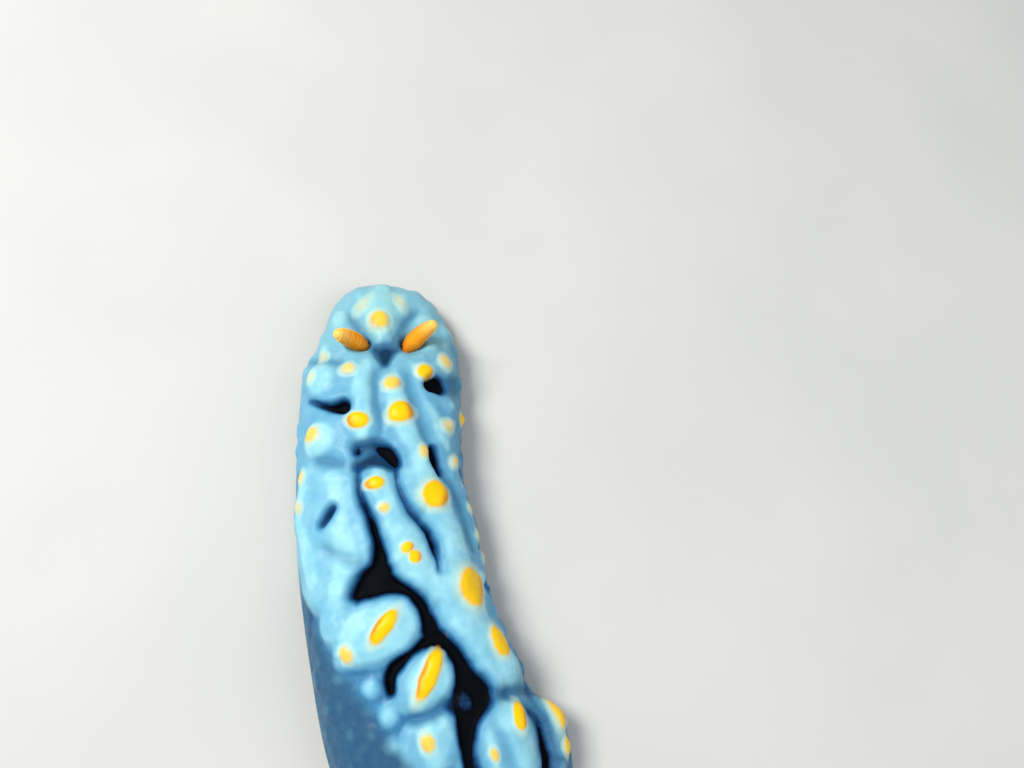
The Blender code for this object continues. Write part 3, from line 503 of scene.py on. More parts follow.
def waves(points, length, size):
    """A smooth random shift of the points, made of a few slow waves."""
    total = np.zeros_like(points)
    for _ in range(7):
        way = np.array([shake.gauss(0, 1) for _ in range(3)])
        way *= 2 * math.pi / length / np.linalg.norm(way)
        push = np.array([shake.gauss(0, 1) for _ in range(3)])
        total += np.sin(points @ way + shake.uniform(0, 6.28))[..., None] * push
    return size * total / math.sqrt(7)


shaken = bare + waves(bare, 5.0, 0.12) + waves(bare, 1.8, 0.035)
print("largest shake in mm:", np.abs(shaken - bare).max().round(2))

# %% Lift of the ridges and lobes
RISE, REACH_OUT = 2.0, 0.42


def rise_of(width):
    return np.minimum(RISE, 0.85 * width)


def pillow(share):
    """Height of a pillow from its edge, at 0, to its middle, at 1."""
    share = np.clip(share, 0.0, 1.0)
    return (1.0 - (1.0 - share) ** 2.2) ** 0.68


def merge(first, second, softness):
    """The higher of two lifts, with a soft crease where they meet."""
    soft = np.minimum(softness, 0.6 * np.minimum(first, second)) + 1e-6
    blend = np.clip(0.5 + 0.5 * (first - second) / soft, 0.0, 1.0)
    return second + (first - second) * blend + soft * blend * (1.0 - blend)


lift = np.zeros(bare.shape[:2])
edge = np.full(bare.shape[:2], -3.0)


def raise_form(part, depth, width):
    """Lifts one part of the back by a form, and keeps how deep its points lie inside."""
    full = rise_of(width) * pillow((depth + REACH_OUT) / (width + REACH_OUT))
    lift[part] = merge(lift[part], full, 0.3)
    edge[part] = np.maximum(edge[part], depth)


def rings_near(low, high, margin=3.0):
    """The rings between two places along the body, and a little beyond them."""
    return slice(*np.searchsorted(ring_along, (low - margin, high + margin)))


def near_rows(rows):
    """For each row of places: the rings near it, and their depth inside it and its half width."""
    for row in rows:
        part = rings_near(row[:, 0].min(), row[:, 0].max(), 5.0)
        yield (part, *inside_row(shaken[part], row))


for part, depth, width in near_rows(rows.values()):
    raise_form(part, depth, width)
for along, aside, half_long, half_wide in LOBES:
    part = rings_near(along, along, 5.0)
    raise_form(part, *inside_oval(shaken[part], along, aside, half_long, half_wide))
print("highest lift:", lift.max().round(2), "share inside forms:", (edge > 0).mean().round(2))

# %% Fill up the ground between the forms
channel = np.full(bare.shape[:2], 9.0)
for part, depth, _ in near_rows(channel_rows.values()):
    channel[part] = np.minimum(channel[part], -depth)

# No channel cuts into these two lobes
for part, depth, _ in near_rows((rows["lobe_a"], rows["lobe_b"])):
    channel[part] = np.maximum(channel[part], depth)

for along, aside, half_long, half_wide, level in FILLS:
    part = rings_near(along - half_long, along + half_long)
    depth, width = inside_oval(shaken[part], along, aside, half_long, half_wide)
    ground = RISE * level * ease((depth + 0.3) / 2.0) * ease(from_edge[part] / 6.0)
    lift[part] = merge(lift[part], ground, 0.35)
    inside = np.minimum(1.4 * level * ease((depth + 0.3) / 1.5) - 0.35, channel[part])
    edge[part] = np.maximum(edge[part], inside)
print("share raised at all:", (lift > 0.2).mean().round(2))

# %% [markdown]
# ## Small tubercles
# The flanks are covered with small round tubercles, larger ones first and finer ones in the
# gaps, as a seeded random search finds room for them. Each stays clear of the long ridges,
# of the black channels and of its neighbours.

# %% Find room for the small tubercles
draw = random.Random(23)
TUBERCLE_SIZES = ((1.25, 220), (0.95, 600), (0.7, 1100), (0.5, 1500))


def depth_at(points):
    forms = [inside_row(points, row)[0] for row in rows.values()]
    forms += [inside_oval(points, *lobe)[0] for lobe in LOBES]
    forms += [inside_oval(points, *fill[:4])[0] for fill in FILLS if fill[4] > 0.74]
    return np.max(forms, axis=0)


tubercles = []
for size, tries in TUBERCLE_SIZES:
    along = np.array([draw.uniform(0.8, LENGTH - 0.8) for _ in range(tries)])
    share = np.array([draw.choice((-1, 1)) * draw.uniform(0.0, 0.98) ** 0.6 for _ in range(tries)])
    aside = share * half_width(along, share)
    places = on_back(along, aside)
    free = depth_at(places) < -0.55 * size
    blocked = np.max([inside_row(places, row)[0] for row in channel_rows.values()], axis=0)
    for number in np.nonzero(free & (blocked < -size - 0.1))[0]:
        near = [np.linalg.norm(places[number] - place) - other for place, other, *_ in tubercles
                if abs(place[1] - places[number][1]) < 4.0]
        if not near or min(near) > 0.82 * size:
            tubercles.append((places[number], size, along[number], aside[number]))
print("small tubercles:", len(tubercles))

# %% Raise the small tubercles
tubercle_caps = []
small = np.zeros(bare.shape[:2])
for place, size, along, aside in tubercles:
    part = rings_near(along, along, 2.5)
    depth = size * draw.uniform(0.92, 1.1) - np.linalg.norm(shaken[part] - place, axis=-1)
    blurred_place = along < 8.0 or (aside > 0 and 42.0 < along < 70.0)
    soft = 0.3 if blurred_place else 0.62
    small[part] = merge(small[part], soft * size * pillow((depth + 0.2) / (size + 0.2)), 0.25)
    edge[part] = np.maximum(edge[part], (0.5 if blurred_place else 1.0) * depth)
    if size > 0.8 and along > 66.0 and draw.random() < 0.42:
        tubercle_caps.append((along, aside, 0.5 * size, 0.5 * size, 0, draw.uniform(0.35, 0.8)))
lift = merge(lift, 0.75 * lift + small, 0.3)
print("tubercles with a yellow tip:", len(tubercle_caps))

# %% [markdown]
# ## Grooves, channels and caps
# A groove is a soft fold that only dents the skin. A black channel goes down to the bare back,
# with steep sides. Both are cut after the forms have been raised. The caps come next and
# stand on whatever is under them.

# %% Two helpers for grids of points
def unit(vectors):
    return vectors / np.maximum(np.linalg.norm(vectors, axis=-1, keepdims=True), 1e-9)


def blurred(values, reach):
    """The values averaged over their neighbours, this many steps each way."""
    weights = np.exp(-0.5 * (np.arange(-2 * reach, 2 * reach + 1) / reach) ** 2)
    for axis in (0, 1):
        padding = [(2 * reach, 2 * reach) if side == axis else (0, 0) for side in (0, 1)]
        padded = np.pad(values, padding, mode="edge")
        values = sum(
            weight * np.take(padded, np.arange(number, number + values.shape[axis]), axis=axis)
            for number, weight in enumerate(weights)
        ) / weights.sum()
    return values


# %% Press in the grooves and cut the channels
groove = np.zeros(bare.shape[:2])
for (strength, _), (part, depth, width) in zip(GROOVES.values(), near_rows(groove_rows)):
    groove[part] = np.maximum(groove[part], strength * (1.0 - ease((0.7 - depth / width) / 2.8)))
groove = 1.12 * blurred(groove, 2)
lift = lift * (1.0 - 0.5 * np.minimum(groove, 1.4))

cut = RISE * 1.15 * pillow((channel + 0.1) / 1.7)
lift = np.minimum(lift, cut)
edge = np.maximum(edge, 0.35 * (1.0 - ease((from_margin - 1.2) / 2.0)))
edge = np.minimum(edge, channel)
CHANNEL_KNOB = (58.9, -1.5, 1.0, 0.8)
part = rings_near(58.0, 60.0)
depth, width = inside_oval(shaken[part], *CHANNEL_KNOB)
lift[part] = np.maximum(lift[part], 0.6 * pillow((depth + 0.2) / width))
edge[part] = np.maximum(edge[part], np.minimum(0.3 * depth - 0.06, 0.0))
print("share cut by channels:", (channel < 0).mean().round(3))

# %% Caps, as a share of their own radius: 1 in the middle, 0 at the rim
cap = np.full(bare.shape[:2], -3.0)
cap_side = np.zeros(bare.shape[:2])
cap_tone = np.ones(bare.shape[:2])
for along, aside, half_long, half_wide, turn, tone in CAPS + tuple(tubercle_caps):
    part = rings_near(along, along, 2.4 * max(half_long, half_wide) + 1.0)
    oval = (along, aside, half_long, half_wide, turn)
    sideways, lengthways, height = oval_place(shaken[part], *oval)
    away = (np.abs(sideways) ** 2.05 + np.abs(lengthways) ** 2.05 + (height / 4) ** 2) ** (1 / 2.05)
    nearer = 1.0 - away > cap[part]
    outward = math.copysign(1.0, aside)
    cap_side[part] = np.where(nearer, outward * sideways + 0.35 * lengthways, cap_side[part])
    cap_tone[part] = np.where(nearer, tone, cap_tone[part])
    cap[part] = np.maximum(cap[part], 1.0 - away)
    lift[part] += 0.42 * min(1.0, half_wide / 0.9) * (0.3 + 0.7 * tone) * pillow(1.1 - away)
print("share under yellow caps:", (cap > 0).mean().round(3))

# %% [markdown]
# ## Pockets of the rhinophores
# Each rhinophore, a feeler that smells the water, stands in a pocket with a low rim. The
# skin rises in a ring round the stalk and dips inside it, and the pocket is painted deep blue and
# black as shade.

# %% Raise the rims and sink the pockets
# Place of the root, rise of the stalk and its turn in degrees, and how far it bows sideways
RHINOPHORES = {
    "rhinophore_left": ((11.8, 3.1), 48, 52, 1.8),
    "rhinophore_right": ((11.6, -2.75), 54, -28, -2.7),
}
RIM_RADIUS, RIM_HEIGHT, POCKET_RADIUS, POCKET_DEPTH = 1.5, 0.7, 0.7, 0.5
for (along, aside), *_ in RHINOPHORES.values():
    part = rings_near(along, along)
    away = np.linalg.norm(bare[part] - on_back(along, aside), axis=-1)
    rim = RIM_HEIGHT * np.exp(-(((away - RIM_RADIUS) / 0.42) ** 2))
    dip = -POCKET_DEPTH * (1.0 - ease((away - POCKET_RADIUS) / 0.35))
    near = 1.0 - ease((away - 1.4) / 0.9)
    lift[part] = lift[part] * (1.0 - near) + rim + dip * near
    # Painted shade: the edge measure falls towards the stalk, so the pocket is painted deep blue
    # and black
    dark = np.minimum(edge[part], 0.9 * (away - POCKET_RADIUS))
    edge[part] = np.where(away < 2.0, dark, edge[part])
    cap[part] = np.where(away < 1.6, -3.0, cap[part])
    print("pocket at", (along, aside), "is", (rim + dip).min().round(2), "mm deep")

# %% [markdown]
# ## Building the skin
# Now the sphere is added and its rings are laid on the sections. The outward direction at
# each point of the back comes from its neighbours, and the lift fades out at the thin margin,
# so that the lip stays sharp and clean all round.

# %% Lift the back along its normals
across_step = np.gradient(bare, axis=1)
along_step = np.gradient(bare, axis=0)
normals = unit(np.cross(across_step, along_step))
normals = normals * np.sign(normals[..., 2:3] + 1e-9)
lift = blurred(lift, 1) * ease((from_edge + 0.2) / 2.6)
edge = blurred(edge, 1)
grain = waves(bare, 1.2, 0.010)[..., 0] + waves(bare, 3.4, 0.04)[..., 0]
back = bare + normals * (lift + grain * ease(from_edge / 1.0))[..., None]
print("top of the skin:", back[..., 2].max().round(2), "mm")

# %% Add the sphere and lay its rings on the sections
POLE_HEIGHT = MARGIN_TOP - 0.2

bpy.ops.object.select_all(action="DESELECT")
bpy.ops.mesh.primitive_uv_sphere_add(segments=AROUND, ring_count=RINGS, radius=LENGTH * MM / 2)
skin = bpy.context.object
skin.name = "body_skin"

start = np.empty(len(skin.data.vertices) * 3)
skin.data.vertices.foreach_get("co", start)
start = start.reshape(-1, 3) / (LENGTH * MM / 2)
ring = np.rint(np.arccos(np.clip(start[:, 2], -1, 1)) / np.pi * RINGS).astype(int)
column = np.rint(np.arctan2(start[:, 1], start[:, 0]) / (2 * np.pi) * AROUND).astype(int) % AROUND
tips = (ring == 0) | (ring == RINGS)

whole = np.concatenate([back, underside], axis=1)
places = np.zeros_like(start)
places[~tips] = whole[ring[~tips] - 1, column[~tips]]
for pole, along in ((0, 0.0), (RINGS, LENGTH)):
    places[ring == pole] = (*plan(along, 0.0), POLE_HEIGHT)
skin.data.vertices.foreach_set("co", to_metres(places).ravel())
skin.data.update()
print("skin:", len(skin.data.vertices), "points,", len(skin.data.polygons), "faces")

# %% Turn the faces outwards and shade them smooth
def select_only(piece):
    bpy.ops.object.select_all(action="DESELECT")
    piece.select_set(True)
    bpy.context.view_layer.objects.active = piece


def turn_outwards(piece):
    """Flips the faces if the closed mesh is inside out."""
    mesh = bmesh.new()
    mesh.from_mesh(piece.data)
    volume = mesh.calc_volume(signed=True)
    mesh.free()
    if volume < 0:
        select_only(piece)
        bpy.ops.object.mode_set(mode="EDIT")
        bpy.ops.mesh.select_all(action="SELECT")
        bpy.ops.mesh.flip_normals()
        bpy.ops.object.mode_set(mode="OBJECT")
    return abs(volume)


print("volume of the skin:", round(turn_outwards(skin) * 1e9), "cubic mm")
select_only(skin)
bpy.ops.object.shade_smooth()

# %% Find the hollows between the forms
# Further on, the hollows are painted a darker blue as painted shade
hollow_shade = blurred(lift, 4) - lift
print("deepest hollow:", hollow_shade.max().round(2), "mm")

# %% [markdown]
# ## Keeping the measures on the mesh
# The paint has to follow the ridges and caps exactly. The measures that shaped them are kept on
# the points as attributes, which a material can read, so no picture is needed. Three more only
# colour the skin: the dull steel blue of the flanks, with painted shade on the right margin behind
# the head and towards the tail, the paler front, and the grey below.

# %% Find the steel blue of the flanks, and the painted shade on the margins
# Along the body, and how far from its axis the flank starts
FLANK = (
    (36.0, 12.4), (40.0, 11.6), (44.0, 11.2), (48.0, 10.6), (50.7, 10.0), (55.6, 8.6),
    (60.2, 7.4), (62.5, 6.4), (65.0, 5.2), (68.0, 5.4), (72.0, 7.4),
)
# The flanks are a dull steel blue of their own; where the table draws it in towards the tail, it is
# painted shade
steel_flank_and_shade = ease((np.abs(back_aside) - np.interp(back_along, *zip(*FLANK))) / 2.0 + 0.5)
steel_flank_and_shade = steel_flank_and_shade * ease((back_along - 34.0) / 10.0) * np.where(back_aside > 0, 1.0, 0.45)
# Painted shade on the right margin behind the head, laid in with the steel blue
right_shoulder_shade = ease((-back_aside - 7.4) / 2.2) * ease((back_along - 5.0) / 6.0)
right_shoulder_shade = right_shoulder_shade * (1.0 - ease((back_along - 24.0) / 8.0))
steel_flank_and_shade = np.maximum(steel_flank_and_shade, 0.6 * right_shoulder_shade)
print("share of steel blue:", (steel_flank_and_shade > 0.5).mean().round(2))

# %% Write the attributes
# The values on the back, the value below the margin, and the one at the two poles
KEPT = {
    "edge": (edge, -0.25, 0.4),
    "cap": (cap, -3.0, -3.0),
    "cap_side": (cap_side, 0.0, 0.0),
    "cap_tone": (cap_tone, 1.0, 1.0),
    "steel_flank_and_shade": (steel_flank_and_shade, 0.0, 0.0),
    "hollow_shade": (hollow_shade, 0.0, 0.0),
    "groove": (groove, 0.0, 0.0),
    "front": (1.0 - ease((back_along - 8.0) / 14.0), 0.0, 0.0),
    "below": (np.where(from_margin < 0.05, 0.4, 0.0), 1.0, 0.6),
}
for name, (on_top, underneath, at_poles) in KEPT.items():
    values = np.full(len(ring), at_poles)
    grid = np.concatenate([on_top, np.full(under.shape[:2], underneath)], axis=1)
    values[~tips] = grid[ring[~tips] - 1, column[~tips]]
    attribute = skin.data.attributes.new(name, "FLOAT", "POINT")
    attribute.data.foreach_set("value", values.astype(np.float32))
print("attributes:", list(KEPT))

# %% [markdown]
# ## A short way to write shader maths
# Node graphs are clear on screen and long in a script. This small class wraps one value of a
# shader, so that sums on it can be written like ordinary ones: each sum adds a Math node.
# All other nodes come from one method that takes the node's type, settings and sockets.

# %% One varying number
class Value:
    """One number of a shader that varies over the surface."""

    def __init__(self, finish, socket):
        self.finish, self.socket = finish, socket

    def math(self, operation, *numbers):
        settings, sockets = {"operation": operation}, dict(enumerate(numbers))
        return Value(self.finish, self.finish.node("ShaderNodeMath", settings, sockets)[0])

    def __add__(self, other):
        return self.math("ADD", self, other)

    def __sub__(self, other):
        return self.math("SUBTRACT", self, other)

    def __rsub__(self, other):
        return self.math("SUBTRACT", other, self)

    def __mul__(self, other):
        return self.math("MULTIPLY", self, other)

    __radd__, __rmul__ = __add__, __mul__

    def step(self, low, high):
        """0 below low, 1 above high, soft between."""
        settings = {"interpolation_type": "SMOOTHSTEP"}
        sockets = {"Value": self, "From Min": low, "From Max": high}
        return Value(self.finish, self.finish.node("ShaderNodeMapRange", settings, sockets)[0])


# %% A material and its nodes
class Finish:
    """A material whose nodes are added by type, settings and sockets."""

    def __init__(self, name, **constants):
        self.material = bpy.data.materials.new(name)
        self.material.use_nodes = True
        self.nodes = self.material.node_tree.nodes
        self.shader = self.nodes["Principled BSDF"]
        for socket, value in constants.items():
            self.shader.inputs[socket.replace("_", " ")].default_value = value
        self.coords = self.node("ShaderNodeTexCoord", {}, {})["Object"]

    def connect(self, target, value):
        value = value.socket if isinstance(value, Value) else value
        if isinstance(value, bpy.types.NodeSocket):
            self.material.node_tree.links.new(value, target)
        else:
            target.default_value = value

    def node(self, kind, settings, sockets):
        made = self.nodes.new(kind)
        for name, value in settings.items():
            setattr(made, name, value)
        for name, value in sockets.items():
            self.connect(made.inputs[name], value)
        return made.outputs

    def attribute(self, name):
        return Value(self, self.node("ShaderNodeAttribute", {"attribute_name": name}, {})["Fac"])

    def noise(self, per_mm, detail=2.0, roughness=0.5):
        """Noise about 0, with this many bumps in a millimetre."""
        sockets = {"Vector": self.coords, "Scale": per_mm / MM}
        sockets |= {"Detail": detail, "Roughness": roughness}
        return Value(self, self.node("ShaderNodeTexNoise", {}, sockets)["Fac"]) - 0.5

    def mix(self, factor, first, second):
        """Colour from the first, at 0, to the second, at 1."""
        sockets = {0: factor, 6: first, 7: second}
        return self.node("ShaderNodeMix", {"data_type": "RGBA"}, sockets)[2]

    def surface(self, colour, roughness=None, bump=None, bump_depth=0.05, coat=None):
        self.connect(self.shader.inputs["Base Color"], colour)
        if roughness is not None:
            self.connect(self.shader.inputs["Roughness"], roughness)
        if coat is not None:
            self.connect(self.shader.inputs["Coat Weight"], coat)
        if bump is not None:
            sockets = {"Height": bump, "Distance": bump_depth * MM, "Strength": 1.0}
            bumped = self.node("ShaderNodeBump", {}, sockets)["Normal"]
            self.connect(self.shader.inputs["Normal"], bumped)


# %% Paints, and dressing a piece
def paint(red, green, blue):
    """A paint named by its screen colour from 0 to 255, as the linear colour a shader needs."""
    screen = [value / 255 for value in (red, green, blue)]
    linear = [v / 12.92 if v <= 0.04045 else ((v + 0.055) / 1.055) ** 2.4 for v in screen]
    return (*linear, 1.0)


def dress(piece, finish, slot, *nodes):
    """Gives a piece its material and its body, and hides the CAD nodes it stands for; the slot is
    not used.
    """
    piece.data.materials.clear()
    piece.data.materials.append(finish.material)
    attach(piece, "root")
    if nodes:
        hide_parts(*nodes)


print("middle grey is the paint", [round(part, 3) for part in paint(128, 128, 128)])

# %% [markdown]
# ## The paint of the skin
# The ridges are a pale, slightly milky blue on top and a stronger blue on their flanks, which is
# partly their own blue and partly painted shade. A thin rim of deep blue borders each black
# channel. The hollows between the forms get a darker blue as painted shade, and the grooves a deep
# blue that is partly painted shade too. The flanks are a dull steel blue, with painted shade on the
# right margin behind the head and towards the tail. The yellow caps have a paler ring round them
# and turn orange on their outer side. A little noise moves every border, and the skin has a fine
# grain under a thin wet gloss.

# %% Mix the blue of the ridges, down to the black between them
flesh = Finish("painted_skin", IOR=1.42, Specular_IOR_Level=0.09, Coat_Roughness=0.36)
wobble = 0.22 * flesh.noise(0.9, 2.0) + 0.05 * flesh.noise(3.0, 2.0)
depth = flesh.attribute("edge") + wobble
mottle = flesh.noise(0.35, 4.0, 0.55)
speckle = flesh.noise(4.5, 3.0, 0.6)

front = flesh.attribute("front")
top = flesh.mix((mottle * 2.2 + 0.5).step(0.0, 1.0), paint(128, 196, 220), paint(160, 220, 234))
top = flesh.mix(0.5 * front, top, paint(150, 208, 210))
# Towards the edge of each form the pale top turns a stronger blue: partly the skin's own blue and
# partly painted shade on the sides of the forms
blue = flesh.mix(depth.step(0.2, 1.4), paint(78, 150, 192), top)
steel = flesh.mix(depth.step(0.0, 1.0), paint(56, 98, 124), paint(74, 122, 146))
shaded_groove = flesh.attribute("groove")
black = 1.0 - depth.step(-0.10, 0.10)
for share, layer in (
    # Painted shade: a darker blue in the hollows between the forms
    (0.75 * flesh.attribute("hollow_shade").step(0.03, 0.5), paint(70, 136, 176)),
    (0.4 * front, paint(150, 206, 210)),
    # The grooves turn deep blue, partly their own colour and partly painted shade
    (0.85 * shaded_groove.step(0.0, 1.0), paint(46, 104, 146)),
    (0.9 * shaded_groove.step(0.9, 1.8), paint(10, 40, 72)),
    # Steel blue of the flanks, with painted shade on the right margin behind the head and towards
    # the tail
    (0.95 * flesh.attribute("steel_flank_and_shade"), steel),
    (1.0 - depth.step(0.0, 0.5), paint(20, 66, 116)),
    (black, paint(2, 5, 12)),
):
    blue = flesh.mix(share, blue, layer)
print("nodes for the blue:", len(flesh.nodes))

# %% Paint the caps with their pale rings
cap_wobble = 0.16 * flesh.noise(0.9, 2.0) + 0.05 * flesh.noise(4.0, 2.0)
cap_depth = flesh.attribute("cap") + cap_wobble
tone = flesh.attribute("cap_tone")
ring_paint = cap_depth.step(-0.60, -0.02) * (0.35 + 0.4 * tone) * depth.step(-0.1, 0.2)
blue = flesh.mix(ring_paint, blue, paint(196, 226, 205))
orange = (flesh.attribute("cap_side") + 0.5 * flesh.noise(1.2)).step(0.15, 1.0)
yellow = flesh.mix(orange, paint(252, 203, 4), paint(232, 138, 6))
yellow = flesh.mix(0.35 * (1.0 - cap_depth.step(0.0, 0.35)), yellow, paint(242, 168, 20))
yellow = flesh.mix(1.0 - tone.step(0.3, 0.9), yellow, paint(226, 204, 132))
covered = cap_depth.step(-0.12, 0.16 + 0.8 * (1.0 - tone)) * (0.4 + 0.6 * tone.step(0.1, 0.6))
colour = flesh.mix(covered, blue, yellow)
print("nodes with the caps:", len(flesh.nodes))

# %% Paint the underside and dress the skin
below = flesh.attribute("below").step(0.3, 0.9)
belly = flesh.mix((mottle * 2.0 + 0.5).step(0.0, 1.0), paint(98, 112, 122), paint(128, 141, 148))
colour = flesh.mix(below, colour, belly)
flesh.surface(
    colour,
    roughness=0.40 + 0.12 * mottle + 0.10 * speckle + 0.08 * below + 0.30 * black,
    bump=speckle * 0.6 + 0.4 * flesh.noise(1.6, 3.0),
    bump_depth=0.05,
    coat=0.22 * depth.step(-0.2, 0.4) * (1.0 - 0.8 * shaded_groove.step(0.1, 0.8)),
)
dress(skin, flesh, "mantle", "mantle_front", "mantle_middle", "mantle_rear", "foot")
print("nodes in all:", len(flesh.nodes))

# %% [markdown]
# ## Growing a feeler by extrusion
# A stalk, a feeler or a papilla is drawn out of a disc: the disc is extruded a little, made
# wider or narrower, and extruded again. That is how it would be done by hand in edit mode, and
# the number of steps sets how smooth it gets. The helper does this from a table of steps.

# %% Extrude a disc step by step
def grow(name, radius, steps, sides=28):
    """Extrudes a disc. Each step is (x, y, z of the new middle, new radius), all in millimetres."""
    bpy.ops.object.select_all(action="DESELECT")
    bpy.ops.mesh.primitive_circle_add(vertices=sides, radius=radius, fill_type="NGON")
    piece = bpy.context.object
    piece.name = name
    bpy.ops.object.mode_set(mode="EDIT")
    bpy.ops.mesh.select_all(action="SELECT")
    middle = Vector((0.0, 0.0, 0.0))
    for *place, wide in steps:
        way = Vector(place) - middle
        bpy.ops.mesh.extrude_region_move(TRANSFORM_OT_translate={"value": way})
        middle += way
        share = wide / radius
        bpy.ops.transform.resize(value=(share, share, share), center_override=middle)
        radius = wide
    bpy.ops.object.mode_set(mode="OBJECT")
    return piece


def place_piece(piece, matrix):
    """Puts a piece made in millimetres at its place in the frame, with its place in its mesh."""
    piece.data.transform(Matrix.Scale(MM, 4) @ Matrix.Translation((*MOVE, 0.0)) @ matrix)
    turn_outwards(piece)
    select_only(piece)
    bpy.ops.object.shade_smooth()


def standing(point, up, front):
    """A frame at a point with its Z axis along up and its Y axis as near to front as it can be."""
    up = Vector(up).normalized()
    side = Vector(front).cross(up).normalized()
    axes = Matrix((side, up.cross(side), up)).transposed()
    return Matrix.Translation(Vector(point)) @ axes.to_4x4()


# %% Copy a piece and join pieces
def copy_of(piece):
    """A copy with its own mesh."""
    copy = piece.copy()
    copy.data = piece.data.copy()
    bpy.context.collection.objects.link(copy)
    return copy


def join(pieces):
    """Joins the pieces into the first of them."""
    select_only(pieces[0])
    for piece in pieces:
        piece.select_set(True)
    bpy.ops.object.join()
    return pieces[0]


# %% [markdown]
# ## The rhinophores
# A rhinophore is a short stalk with a club of thin leaves. The stalk and the core of
# the club are grown from a disc. One leaf is modelled from a thin cylinder with a rounded rim,
# then copied up the club, each copy scaled to the club's outline and tilted a little.

# %% Model one leaf of the club
def club_leaf():
    bpy.ops.object.select_all(action="DESELECT")
    bpy.ops.mesh.primitive_cylinder_add(vertices=30, radius=1.0, depth=0.16)
    leaf = bpy.context.object
    bpy.ops.object.mode_set(mode="EDIT")
    bpy.ops.mesh.select_all(action="SELECT")
    bpy.ops.transform.resize(value=(1.0, 0.92, 1.0))
    bpy.ops.mesh.bevel(offset=0.055, segments=2, affect="EDGES")
    bpy.ops.object.mode_set(mode="OBJECT")
    return leaf


leaf = club_leaf()
print("one leaf:", len(leaf.data.polygons), "faces")

# %% Stack the leaves on the stalk
LEAVES, CLUB_LOW, CLUB_HIGH, TILT = 24, 0.75, 5.35, 17.0
FEELER_LENGTH, STALK_TOP, SUNK = 7.3, 1.4, 2.2


def club_radius(share):
    """Radius of the club from its foot, at 0, to its tip, at 1."""
    return 1.22 * (1.0 - 0.26 * share**3.5) * (0.82 + 0.18 * ease(share / 0.3))


def upright_feeler(name):
    """The stalk, the core of the club and its leaves, standing up at the origin."""
    steps = [(0, 0, 0.9, 0.80), (0, 0, 1.5, 0.78), (0, 0, 2.0, 0.78)]
    for share in (0.1, 0.25, 0.4, 0.55, 0.7, 0.85, 1.0):
        height = STALK_TOP + CLUB_LOW + (CLUB_HIGH - CLUB_LOW) * share
        steps.append((0, 0, height, 0.86 * club_radius(share) - 0.03))
    steps += [(0, 0, 6.95, 0.70), (0, 0, 7.12, 0.54), (0, 0, 7.24, 0.32), (0, 0, 7.28, 0.12)]
    parts = [grow(name, 0.82, steps)]
    for number in range(LEAVES):
        share = (number + 0.5) / LEAVES
        size = float(club_radius(share))
        tilt = Matrix.Rotation(math.radians(TILT + 3.0 * math.sin(2.4 * number)), 4, "X")
        height = STALK_TOP + CLUB_LOW - 0.1 + (CLUB_HIGH - CLUB_LOW) * share
        scale = Matrix.Diagonal((size, size, 0.62, 1.0))
        parts.append(copy_of(leaf))
        parts[-1].data.transform(Matrix.Translation((0, 0, height)) @ tilt @ scale)
    return join(parts)


print("club from", club_radius(0.0).round(2), "to", round(club_radius(1.0), 2), "mm in radius")

# %% Bend it sideways and set it on the head
def bend_sideways(piece, bow):
    """Bends a feeler, more towards its tip, and keeps how far up each point is."""
    heights = np.array([vertex.co.z for vertex in piece.data.vertices], np.float32) / FEELER_LENGTH
    for vertex, height in zip(piece.data.vertices, heights.tolist()):
        bend = math.atan(2.0 * bow * height / FEELER_LENGTH)
        sideways = vertex.co.x
        vertex.co.x = bow * height**2 + sideways * math.cos(bend)
        vertex.co.z -= sideways * math.sin(bend)
    piece.data.attributes.new("reach", "FLOAT", "POINT").data.foreach_set("value", heights)


def rhinophore(name, place, rise, turn, bow):
    piece = upright_feeler(name)
    bend_sideways(piece, bow)
    rise, turn = math.radians(rise), math.radians(turn)
    up = (math.cos(rise) * math.sin(turn), -math.cos(rise) * math.cos(turn), math.sin(rise))
    root = standing(on_back(*place), up, (0.0, 0.0, 1.0))
    place_piece(piece, root @ Matrix.Translation((0.0, 0.0, -SUNK)))
    return piece


feelers = {}
for name, how in RHINOPHORES.items():
    feelers[name] = rhinophore(name.replace("rhinophore", "feeler"), *how)
bpy.data.objects.remove(leaf)
print([(piece.name, len(piece.data.polygons)) for piece in feelers.values()])

# %% Paint the rhinophores
MOIST = {"IOR": 1.42, "Specular_IOR_Level": 0.45}
orange_paint = Finish("orange_feeler", **MOIST)
reach_up = orange_paint.attribute("reach")
tint = orange_paint.noise(0.8, 3.0)
at_tip = (reach_up + 0.2 * tint).step(0.6, 1.0)
above_root = (reach_up + 0.15 * tint).step(0.15, 0.55)
club_colour = orange_paint.mix(at_tip, paint(252, 170, 18), paint(254, 204, 96))
orange_paint.surface(
    orange_paint.mix(above_root, paint(214, 108, 6), club_colour),
    roughness=0.42 + 0.2 * tint,
    bump=orange_paint.noise(3.0, 2.0),
    bump_depth=0.02,
)
for name, piece in feelers.items():
    dress(piece, orange_paint, "rhinophore", name)
print("dressed", sorted(feelers))

# %% [markdown]
# ## Head, mouth and oral tentacles
# The head hides under the front of the mantle: a soft bulb with the pore of the mouth in
# its face and a short feeler on each side. A sphere with its pole turned forwards gives the
# bulb, because the fan of faces at the pole can be pushed in to make the mouth.

# %% Mix a mottled, moist skin
def mottled_skin(name, dark, light, mottling, grain):
    """A moist skin mottled between two paints. Mottling and grain are bumps per mm and detail."""
    finish = Finish(name, **MOIST)
    mottle = finish.noise(*mottling)
    colour = finish.mix((mottle * 2.0 + 0.5).step(0.0, 1.0), dark, light)
    finish.surface(
        colour, roughness=0.42 + 0.2 * mottle, bump=finish.noise(*grain), bump_depth=0.03
    )
    return finish


